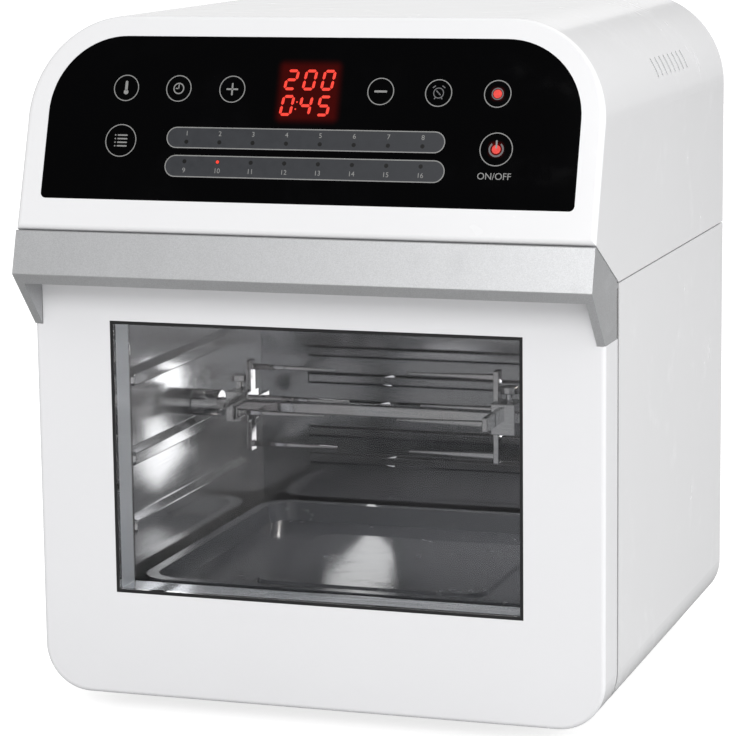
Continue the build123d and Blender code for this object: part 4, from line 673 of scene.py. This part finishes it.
def let_lamps_through(tree, shader):
    """Mix in a clear shader for rays from lamps, so that they reach what is behind the glass."""
    clear = tree.nodes.new("ShaderNodeBsdfTransparent")
    path = tree.nodes.new("ShaderNodeLightPath")
    mix = tree.nodes.new("ShaderNodeMixShader")
    tree.links.new(path.outputs["Is Shadow Ray"], mix.inputs[0])
    tree.links.new(shader.outputs[0], mix.inputs[1])
    tree.links.new(clear.outputs[0], mix.inputs[2])
    tree.links.new(mix.outputs[0], tree.nodes["Material Output"].inputs["Surface"])


def clear_pane(name, tint, index):
    """Clear flat glass with faint wipe marks."""
    material, tree, shader = new_finish(name, Transmission_Weight=1.0, IOR=index)
    marks = grouped(tree, FINGER_MARKS, Scale=16.0, Amount=0.5)["Mask"]
    wiped = mixed_colour(tree, marks, tint, shaded(tint[:3], 0.97))
    tree.links.new(wiped, shader.inputs["Base Color"])
    drifting_roughness(tree, shader, marks, 0.0, 0.05)
    let_lamps_through(tree, shader)
    return material


def glowing_glass(name, tint, power):
    """Frosted glass lit from behind or within."""
    material, tree, shader = new_finish(
        name, Transmission_Weight=0.6, IOR=1.3, Emission_Strength=power)
    skin = grouped(tree, MOULDED_SKIN, Drift_Scale=120.0, Ripple_Scale=500.0)
    toned = mixed_colour(tree, skin["Drift"], shaded(tint, 0.9), shaded(tint, 1.0))
    tree.links.new(toned, shader.inputs["Base Color"])
    tree.links.new(toned, shader.inputs["Emission Color"])
    drifting_roughness(tree, shader, skin["Drift"], 0.2, 0.4)
    dented(tree, shader, skin["Height"], 0.05 * MM)
    let_lamps_through(tree, shader)
    return material


def bare_steel(name, colour, stretch, roughness, tint=0.08, marks=0.8, bump=0.05, metal=1.0):
    """Rolled or polished sheet metal, with wiped patches and a trace of heat."""
    material, tree, shader = new_finish(name, Metallic=metal)
    lines = grouped(tree, ROLLED_LINES, Stretch=stretch)
    toned = mixed_colour(tree, lines["Streak"], shaded(colour, 0.82), shaded(colour, 1.12))
    heated = grouped(tree, HEAT_TINT, Metal=toned, Amount=tint)["Color"]
    # Exposed edges mixed to a lighter tone: wear, and a painted edge highlight
    edge = grouped(tree, EDGE_WEAR_AND_HIGHLIGHT, Amount=0.6, Radius=0.5 * MM)["Mask"]
    edged = mixed_colour(tree, edge, heated, shaded(colour, 1.5))
    tree.links.new(edged, shader.inputs["Base Color"])
    smears = grouped(tree, FINGER_MARKS, Scale=26.0, Amount=marks)["Mask"]
    wander = plus(tree, smears, times(tree, lines["Streak"], 0.3))
    drifting_roughness(tree, shader, wander, *roughness)
    dented(tree, shader, lines["Height"], bump * MM, rounding=SHEET_EDGE)
    return material


def vitreous_enamel(name, colour):
    """Dark enamel with fine pale specks."""
    material, tree, shader = new_finish(name, Coat_Weight=0.3, Coat_Roughness=0.14)
    place = object_place(tree)
    specks = ramped(tree, cells(tree, place, 420.0)["Distance"], 0.16, 0.08)
    patches = ramped(tree, noise(tree, place, 600.0), 0.5, 0.6)
    share = times(tree, times(tree, specks, patches), 0.5)
    skin = grouped(tree, MOULDED_SKIN, Ripple_Scale=90.0)
    toned = mixed_colour(tree, skin["Drift"], shaded(colour, 0.85), shaded(colour, 1.2))
    speckled = mixed_colour(tree, share, toned, ENAMEL_SPECK)
    tree.links.new(speckled, shader.inputs["Base Color"])
    smears = grouped(tree, FINGER_MARKS, Scale=30.0, Amount=0.9)["Mask"]
    drifting_roughness(tree, shader, smears, 0.14, 0.34)
    dented(tree, shader, skin["Height"], 0.08 * MM)
    return material


def dull_rubber(name, colour, roughness):
    """Rubber or silicone with a fine matt grain."""
    material, tree, shader = new_finish(name, Specular_IOR_Level=0.3)
    skin = grouped(tree, MOULDED_SKIN, Grain_Scale=2600.0, Ripple_Scale=300.0)
    toned = mixed_colour(tree, skin["Drift"], shaded(colour, 0.8), shaded(colour, 1.2))
    dusty = grouped(tree, SETTLED_DUST, Amount=0.25)["Mask"]
    # Exposed edges mixed to a lighter tone: wear, and a painted edge highlight
    edge = grouped(tree, EDGE_WEAR_AND_HIGHLIGHT, Amount=0.35)["Mask"]
    edged = mixed_colour(tree, edge, toned, shaded(colour, 1.8))
    tree.links.new(mixed_colour(tree, dusty, edged, DUST_ON_RUBBER), shader.inputs["Base Color"])
    drifting_roughness(tree, shader, skin["Drift"], roughness - 0.08, roughness + 0.08)
    dented(tree, shader, skin["Height"], 0.06 * MM)
    return material


def laminated_iron(name, colour):
    """Stacked iron sheets, dark with a film of varnish."""
    material, tree, shader = new_finish(name, Metallic=0.8)
    feeds = {"Vector": object_place(tree), "Scale": 320.0, "Distortion": 0.3}
    sheets = shader_node(tree, "ShaderNodeTexWave", feeds, bands_direction="Z").outputs[1]
    drift = grouped(tree, MOULDED_SKIN, Drift_Scale=40.0)["Drift"]
    toned = mixed_colour(tree, sheets, shaded(colour, 0.6), shaded(colour, 1.2))
    # Exposed edges mixed to a lighter tone: wear, and a painted edge highlight
    edge = grouped(tree, EDGE_WEAR_AND_HIGHLIGHT, Amount=0.5)["Mask"]
    edged = mixed_colour(tree, edge, toned, shaded(colour, 2.2))
    tree.links.new(edged, shader.inputs["Base Color"])
    drifting_roughness(tree, shader, drift, 0.35, 0.6)
    dented(tree, shader, sheets, 0.1 * MM)
    return material


def circuit_laminate(name):
    """Green board with darker copper runs and bright solder spots."""
    material, tree, shader = new_finish(name, Coat_Weight=0.3, Coat_Roughness=0.2)
    place = object_place(tree)
    feeds = {"Vector": place, "Scale": 120.0, "Mortar Size": 0.12}
    runs = shader_node(tree, "ShaderNodeTexBrick", feeds, offset=0.35).outputs["Fac"]
    spots = ramped(tree, cells(tree, place, 180.0)["Distance"], 0.2, 0.12)
    green = mixed_colour(tree, noise(tree, place, 30.0), BOARD_GREEN, BOARD_PALE_GREEN)
    tracked = mixed_colour(tree, times(tree, runs, 0.6), green, BOARD_TRACK)
    tree.links.new(mixed_colour(tree, spots, tracked, SOLDER), shader.inputs["Base Color"])
    drifting_roughness(tree, shader, spots, 0.45, 0.25)
    dented(tree, shader, plus(tree, runs, spots), 0.05 * MM)
    return material


# The finish of each material slot in the record, and of the cavity's side walls. The cavity steel
# and the side-wall steel are one metal: a darker copy with painted shade for the rest of the
# cavity, and a lighter copy with painted light for the side walls.
FINISHES = {
    "white_casing": gloss_moulding("gloss_white_casing", (0.78, 0.78, 0.79)),
    "white_door": gloss_moulding("gloss_white_door", (0.80, 0.80, 0.815), roughness=0.16),
    "grip_silver": satin_metallic_paint("satin_silver_grip", (0.57, 0.575, 0.585)),
    "black_fascia": black_glass_fascia("black_glass_panel"),
    "clear_glass": clear_pane("clear_door_pane", (0.955, 0.957, 0.96, 1), index=1.14),
    "lamp_glass": glowing_glass("warm_lamp_glass", (1.0, 0.90, 0.74), power=1.2),
    # The cavity's steel, darkened as painted shade
    "cavity_steel": bare_steel(
        "shade_painted_cavity_steel", (0.38, 0.385, 0.40), ALONG_SHEET, roughness=(0.12, 0.24),
        tint=0.03, marks=0.4, metal=0.97),
    # The same steel, lightened as painted light, for the side walls
    "lit_wall_steel": bare_steel(
        "light_painted_wall_steel", (0.84, 0.845, 0.86), ALONG_SHEET, roughness=(0.13, 0.27),
        tint=0.03, marks=0.4, metal=0.95),
    "reveal_steel": bare_steel(
        "mirror_reveal_steel", (0.60, 0.625, 0.66), ACROSS_SHEET, roughness=(0.06, 0.16),
        tint=0.02, marks=0.4, metal=0.6),
    "door_steel": bare_steel(
        "door_back_steel", (0.50, 0.505, 0.51), ACROSS_SHEET, roughness=(0.16, 0.34)),
    "tray_enamel": vitreous_enamel("speckled_tray_enamel", (0.045, 0.047, 0.052)),
    "spit_steel": bare_steel(
        "bright_spit_steel", (0.66, 0.665, 0.68), ACROSS_SHEET, roughness=(0.05, 0.13),
        tint=0.12),
    "plain_steel": bare_steel(
        "galvanised_steel", (0.50, 0.51, 0.53), ACROSS_SHEET, roughness=(0.28, 0.48),
        tint=0.03),
    "fan_aluminium": bare_steel(
        "pressed_aluminium", (0.68, 0.69, 0.70), ALONG_SHEET, roughness=(0.22, 0.42),
        tint=0.05),
    "motor_iron": laminated_iron("laminated_motor_iron", (0.16, 0.16, 0.17)),
    "element_steel": bare_steel(
        "oxidised_element", (0.16, 0.15, 0.15), ACROSS_SHEET, roughness=(0.35, 0.6),
        tint=0.45, bump=0.1),
    "rear_white": gloss_moulding(
        "satin_white_rear", (0.74, 0.74, 0.75), roughness=0.34, coat=0.05),
    "black_plastic": gloss_moulding(
        "black_moulding", (0.018, 0.018, 0.02), roughness=0.38, coat=0.0, dust=0.06),
    "black_rubber": dull_rubber("black_rubber_skin", (0.016, 0.016, 0.017), roughness=0.62),
    "grey_silicone": dull_rubber("grey_silicone_skin", (0.16, 0.16, 0.165), roughness=0.5),
    "board_green": circuit_laminate("green_board"),
}
SIDE_WALLS = ("cavity_left_wall", "cavity_right_wall")


def dress_cad_nodes():
    """Give every node that the frame brings its finish, by the record's slot."""
    for name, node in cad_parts.items():
        for place in node.material_slots:
            # The side walls take the lighter copy of the cavity steel, painted light
            finish = "lit_wall_steel" if name in SIDE_WALLS else place.material.name
            place.material = FINISHES[finish]


# Prints and lit figures on the fascia

GREY_INK = ink("pale_grey_ink", (0.24, 0.24, 0.235))
DIM_INK = ink("dim_grey_ink", (0.13, 0.13, 0.135))
BAR_INK = ink("bar_grey_ink", (0.030, 0.032, 0.037))
DARK_LENS = ink("dark_lamp_lens", (0.002, 0.002, 0.002))
FIGURE_RED = lit_red(
    "figure_red", power=1.0, core=(1.0, 0.05, 0.02, 1), rim=(0.95, 0.02, 0.01, 1))
LAMP_RED = lit_red(
    "lamp_red", power=0.85, core=(1.0, 0.03, 0.015, 1), rim=(0.45, 0.01, 0.008, 1))

SEGMENTS = {
    "0": "abcdef", "1": "bc", "2": "abged", "3": "abgcd", "4": "fgbc",
    "5": "afgcd", "6": "afgedc", "7": "abc", "8": "abcdefg", "9": "abcdfg",
}


def segment_ends(segment, left, low):
    """The two ends of one segment of an upright figure."""
    reach = DIGIT_STROKE / 2
    near, far = left + reach, left + DIGIT_W - reach
    bottom, top = low + reach, low + DIGIT_H - reach
    middle = low + DIGIT_H / 2
    return {
        "a": ((near, top), (far, top)),
        "b": ((far, middle), (far, top)),
        "c": ((far, bottom), (far, middle)),
        "d": ((near, bottom), (far, bottom)),
        "e": ((near, bottom), (near, middle)),
        "f": ((near, middle), (near, top)),
        "g": ((near, middle), (far, middle)),
    }[segment]


def segment_outline(start, stop):
    """A pointed bar between two ends, kept clear of its neighbours."""
    run = (Vector(stop) - Vector(start)).normalized()
    side = Vector((-run.y, run.x)) * DIGIT_STROKE / 2
    first = Vector(start) + run * SEGMENT_GAP
    last = Vector(stop) - run * SEGMENT_GAP
    shoulder = run * DIGIT_STROKE / 2
    return [first, first + shoulder - side, last - shoulder - side, last, last - shoulder + side,
            first + shoulder + side]


def slanted(outline, low):
    """An outline leant to the right, as the figures are."""
    return [(x + DIGIT_SLANT * (rise - low), rise) for x, rise in outline]


def add_figures(mesh, text, left, low):
    """A row of lit figures."""
    for place, figure in enumerate(text):
        for segment in SEGMENTS[figure]:
            ends = segment_ends(segment, left + place * DIGIT_PITCH, low)
            ink_plate(mesh, slanted(segment_outline(*ends), low))


def make_figures():
    """The lit temperature and time."""
    mesh = bmesh.new()
    add_figures(mesh, TEMPERATURE_TEXT, *TEMPERATURE_ROW)
    add_figures(mesh, TIMER_TEXT, *TIMER_ROW)
    left, low = TIMER_ROW
    for share in COLON_HEIGHTS:
        rise = low + share * DIGIT_H
        middle = left + (DIGIT_W + DIGIT_PITCH) / 2 + DIGIT_SLANT * (rise - low)
        ink_plate(mesh, circle(middle, rise, COLON_DOT_R, COLON_STEPS))
    finish_piece(mesh, "display_figures", FIGURE_RED, "casing")


def make_key_rings():
    """The ring round each touch key."""
    mesh = bmesh.new()
    for across, rise, radius in KEYS:
        ink_ring(mesh, across, rise, radius, RING_W)
    finish_piece(mesh, "key_rings", GREY_INK, "casing")


def add_strokes(mesh, key, strokes, width):
    """Straight strokes of a key's symbol."""
    across, rise = key[:2]
    for x0, y0, x1, y1 in strokes:
        ink_plate(mesh, stroke((across + x0, rise + y0), (across + x1, rise + y1), width))


def make_key_symbols():
    """The symbol in each touch key."""
    mesh = bmesh.new()
    add_strokes(mesh, TEMPERATURE_KEY, THERMOMETER_STEM, THERMOMETER_STEM_W)
    across, rise, _ = TEMPERATURE_KEY
    bulb = circle(across, rise - THERMOMETER_BULB_DROP, THERMOMETER_BULB_R, BULB_STEPS)
    ink_plate(mesh, bulb)
    ink_ring(mesh, *TIMER_KEY[:2], CLOCK_R, CLOCK_LINE_W)
    add_strokes(mesh, TIMER_KEY, CLOCK_HANDS, CLOCK_HAND_W)
    add_strokes(mesh, PLUS_KEY, PLUS_STROKES, PLUS_W)
    add_strokes(mesh, MINUS_KEY, MINUS_STROKE, MINUS_W)
    for row in range(MENU_ROWS):
        height = MENU_TOP - row * MENU_PITCH
        for start, stop in (MENU_LINE, MENU_DOT):
            add_strokes(mesh, MENU_KEY, ((start, height, stop, height),), MENU_LINE_W)
    finish_piece(mesh, "key_symbols", GREY_INK, "casing")
    dim = bmesh.new()
    ink_ring(dim, *ALARM_KEY[:2], ALARM_R, ALARM_LINE_W)
    add_strokes(dim, ALARM_KEY, ALARM_HANDS + ALARM_BELLS + ALARM_FEET, ALARM_STROKE_W)
    ink_ring(dim, *SPIT_KEY[:2], SPIT_SYMBOL_R, SPIT_SYMBOL_W)
    power_arc = arc_stroke(
        *POWER_KEY[:2], POWER_ARC_R, POWER_LINE_W, POWER_ARC_START, POWER_ARC_STOP)
    ink_plate(dim, power_arc)
    finish_piece(dim, "dim_key_symbols", DIM_INK, "casing")


def make_key_lamps():
    """The red lamps behind the spit and power keys, with the power symbol's bar over one."""
    mesh = bmesh.new()
    for across, rise, _ in (SPIT_KEY, POWER_KEY):
        ink_plate(mesh, circle(across, rise, KEY_LAMP_R, KEY_LAMP_STEPS))
    finish_piece(mesh, "key_lamps", LAMP_RED, "casing")
    bar = bmesh.new()
    across, rise, _ = POWER_KEY
    low, high = (across, rise + POWER_BAR_LOW), (across, rise + POWER_BAR_HIGH)
    ink_plate(bar, stroke(low, high, POWER_LINE_W), OVERPRINT_BASE, POWER_BAR_TOP)
    finish_piece(bar, "power_symbol_bar", GREY_INK, "casing")


def programme_places():
    """Across and up of each programme lamp, and of its number, in counting order."""
    rows = ((UPPER_LAMPS_RISE, UPPER_NUMBERS_RISE), (LOWER_LAMPS_RISE, LOWER_NUMBERS_RISE))
    for lamp_rise, number_rise in rows:
        for place in range(PROGRAMMES_A_ROW):
            across = FIRST_LAMP_X + place * PROGRAMME_PITCH
            yield (across, lamp_rise), (across, number_rise)


def make_programme_bars():
    """Two bars with their outlines, their lamps and plain numbers."""
    fill, outline, dark, lit, numbers = (bmesh.new() for _ in range(5))
    for bar in (UPPER_BAR, LOWER_BAR):
        ink_plate(fill, stadium(*bar, inset=BAR_LINE_W), INK_BASE, BAR_FILL_TOP)
        ink_band(outline, stadium(*bar, inset=BAR_LINE_W), stadium(*bar))
    for count, (lamp, number) in enumerate(programme_places()):
        if count == PROGRAMMES_A_ROW + LIT_PROGRAMME:
            disc = circle(*lamp, LIT_LAMP_R, LIT_LAMP_STEPS)
            ink_plate(lit, disc, OVERPRINT_BASE, LIT_LAMP_TOP)
        ink_plate(dark, circle(*lamp, LAMP_R, LAMP_STEPS))
        ink_word(numbers, str(count + 1), *number, NUMBER_SIZE)
    ink_word(numbers, SWITCH_WORD, POWER_KEY[0], SWITCH_WORD_RISE, SWITCH_WORD_SIZE)
    finish_piece(fill, "programme_bars", BAR_INK, "casing")
    finish_piece(outline, "programme_bar_lines", GREY_INK, "casing")
    finish_piece(dark, "programme_lamps", DARK_LENS, "casing")
    finish_piece(lit, "lit_programme_lamp", FIGURE_RED, "casing")
    finish_piece(numbers, "programme_numbers", GREY_INK, "casing")


# Floor, lamps and camera

FLOOR_HALF = 9.0
FLOOR_DROP = 0.2 * MM
FLOOR_GREYS = (0.51, 0.53)

# Light that the floor adds where the camera sees it, and greys of the surround as it lights
# the oven and as glossy surfaces mirror it
FLOOR_LIFT = 0.75
AMBIENT = 0.75
MIRRORED = 0.26

# Soft boxes: place, height on the oven's axis that they look at, width and height, watts
SOFTBOXES = {
    "key_softbox": ((0.16, -2.3, 1.40), 0.25, (1.2, 0.9), 19.0),
    "side_softbox": ((2.2, 0.1, 0.9), 0.2, (2.2, 1.6), 28.5),
    "top_softbox": ((0.1, 0.4, 2.0), 0.3, (1.4, 1.4), 4.5),
    "rear_softbox": ((-1.6, 3.2, 1.0), 0.3, (3.0, 2.0), 11.0),
    "low_softbox": ((0.2, -2.2, 0.30), 0.15, (1.2, 0.4), 3.4),
    "rail_softbox": ((0.78, -1.6, 0.26), 0.15, (0.22, 0.16), 1.2),
}

# Patches of light just off the rear wall, which the polished left wall mirrors: place, height
# that they look at, width and height, watts, turn in degrees
GLOW_GAP = 6 * MM
GLOW_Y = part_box("cavity_rear_wall")[0].y - GLOW_GAP
GLOWS = {
    "upper_glow": ((-0.058, GLOW_Y, 0.140), 0.13, (50 * MM, 24 * MM), 0.0065, 0.0),
    "lower_glow": ((-0.056, GLOW_Y, 0.094), 0.08, (46 * MM, 34 * MM), 0.0072, 45.0),
}

# The oven's own lamp, which shines down into the cavity from behind its lens
OVEN_LAMP_GAP = 3 * MM
OVEN_LAMP_AIM_DROP = 80 * MM
OVEN_LAMP_SIZE = (26 * MM, 26 * MM)
OVEN_LAMP_POWER = 0.8
OVEN_LAMP_COLOUR = (1.0, 0.98, 0.95)


def seen_directly(tree, path):
    """1 for rays from the camera, also through glass, that no other surface has turned."""
    turned = plus(tree, path["Glossy Depth"], path["Diffuse Depth"])
    straight = math_node(tree, "LESS_THAN", turned, 0.5)
    through = times(tree, straight, path["Is Transmission Ray"])
    return math_node(tree, "MAXIMUM", path["Is Camera Ray"], through)


def lay_floor():
    """A wide pale floor that takes the oven's shadow."""
    material, tree, shader = new_finish(
        "pale_floor", Roughness=0.9, Specular_IOR_Level=0.1, Emission_Color=grey(1))
    drift = noise(tree, object_place(tree), 2.0)
    plain = mixed_colour(tree, drift, *(grey(value) for value in FLOOR_GREYS))
    tree.links.new(plain, shader.inputs["Base Color"])
    path = tree.nodes.new("ShaderNodeLightPath").outputs
    lift = times(tree, seen_directly(tree, path), FLOOR_LIFT)
    tree.links.new(lift, shader.inputs["Emission Strength"])
    mesh = bpy.data.meshes.new("studio_floor")
    near, far = -FLOOR_HALF, FLOOR_HALF
    outline = ((near, near), (far, near), (far, far), (near, far))
    corners = [(x, y, -FLOOR_DROP) for x, y in outline]
    mesh.from_pydata(corners, [], [(0, 1, 2, 3)])
    mesh.materials.append(material)
    floor = bpy.data.objects.new("studio_floor", mesh)
    bpy.context.scene.collection.objects.link(floor)


def light_world():
    """A pale surround, white where it is seen and softer where it lights."""
    world = bpy.data.worlds.new("pale_studio")
    bpy.context.scene.world = world
    world.use_nodes = True
    tree = world.node_tree
    path = tree.nodes.new("ShaderNodeLightPath").outputs
    mirrored = math_node(tree, "GREATER_THAN", path["Glossy Depth"], 0.5)
    light = mixed_colour(tree, mirrored, grey(AMBIENT), grey(MIRRORED))
    colour = mixed_colour(tree, seen_directly(tree, path), light, grey(1))
    tree.links.new(colour, tree.nodes["Background"].inputs["Color"])


def soft_lamp(name, place, aim, size, power, colour=(1, 1, 1), roll=0.0):
    """A rectangular lamp that looks at a point, rolled about its own axis by so many degrees."""
    data = bpy.data.lights.new(name, "AREA")
    data.shape = "RECTANGLE"
    data.size, data.size_y = size
    data.energy = power
    data.color = colour
    lamp = bpy.data.objects.new(name, data)
    bpy.context.scene.collection.objects.link(lamp)
    lamp.location = place
    facing = (Vector(aim) - Vector(place)).to_track_quat("-Z", "Y").to_matrix()
    lamp.rotation_euler = (facing @ Matrix.Rotation(radians(roll), 3, "Z")).to_euler()
    lamp.visible_camera = False
    lamp.visible_transmission = False


def light_studio():
    """Soft boxes round the oven, and the light inside it."""
    for name, (place, height, size, power) in SOFTBOXES.items():
        soft_lamp(name, place, (0, 0, height), size, power)
    for name, (place, height, size, power, roll) in GLOWS.items():
        soft_lamp(name, place, (0, 0, height), size, power, roll=roll)
    low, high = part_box("lamp_lens")
    middle = (low + high) / 2
    place = Vector((low.x - OVEN_LAMP_GAP, middle.y, middle.z))
    aim = (0, 0, middle.z - OVEN_LAMP_AIM_DROP)
    soft_lamp("oven_lamp", place, aim, OVEN_LAMP_SIZE, OVEN_LAMP_POWER, OVEN_LAMP_COLOUR)


def place_camera():
    """The camera where the photograph was taken from."""
    azimuth, elevation = radians(CAMERA_AZIMUTH), radians(CAMERA_ELEVATION)
    back = Vector((sin(azimuth) * cos(elevation), -cos(azimuth) * cos(elevation), sin(elevation)))
    turn = back.to_track_quat("Z", "Y").to_matrix() @ Matrix.Rotation(radians(CAMERA_ROLL), 3, "Z")
    data = bpy.data.cameras.new("photo_camera")
    data.lens = CAMERA_LENS
    data.sensor_width = CAMERA_SENSOR
    camera = bpy.data.objects.new("photo_camera", data)
    bpy.context.scene.collection.objects.link(camera)
    camera.matrix_world = Matrix.Translation(CAMERA_PLACE) @ turn.to_4x4()
    bpy.context.scene.camera = camera


place_camera()
dress_cad_nodes()
make_key_rings()
make_key_symbols()
make_key_lamps()
make_figures()
make_programme_bars()
lay_floor()
light_world()
light_studio()
bpy.context.scene.view_settings.view_transform = "Standard"
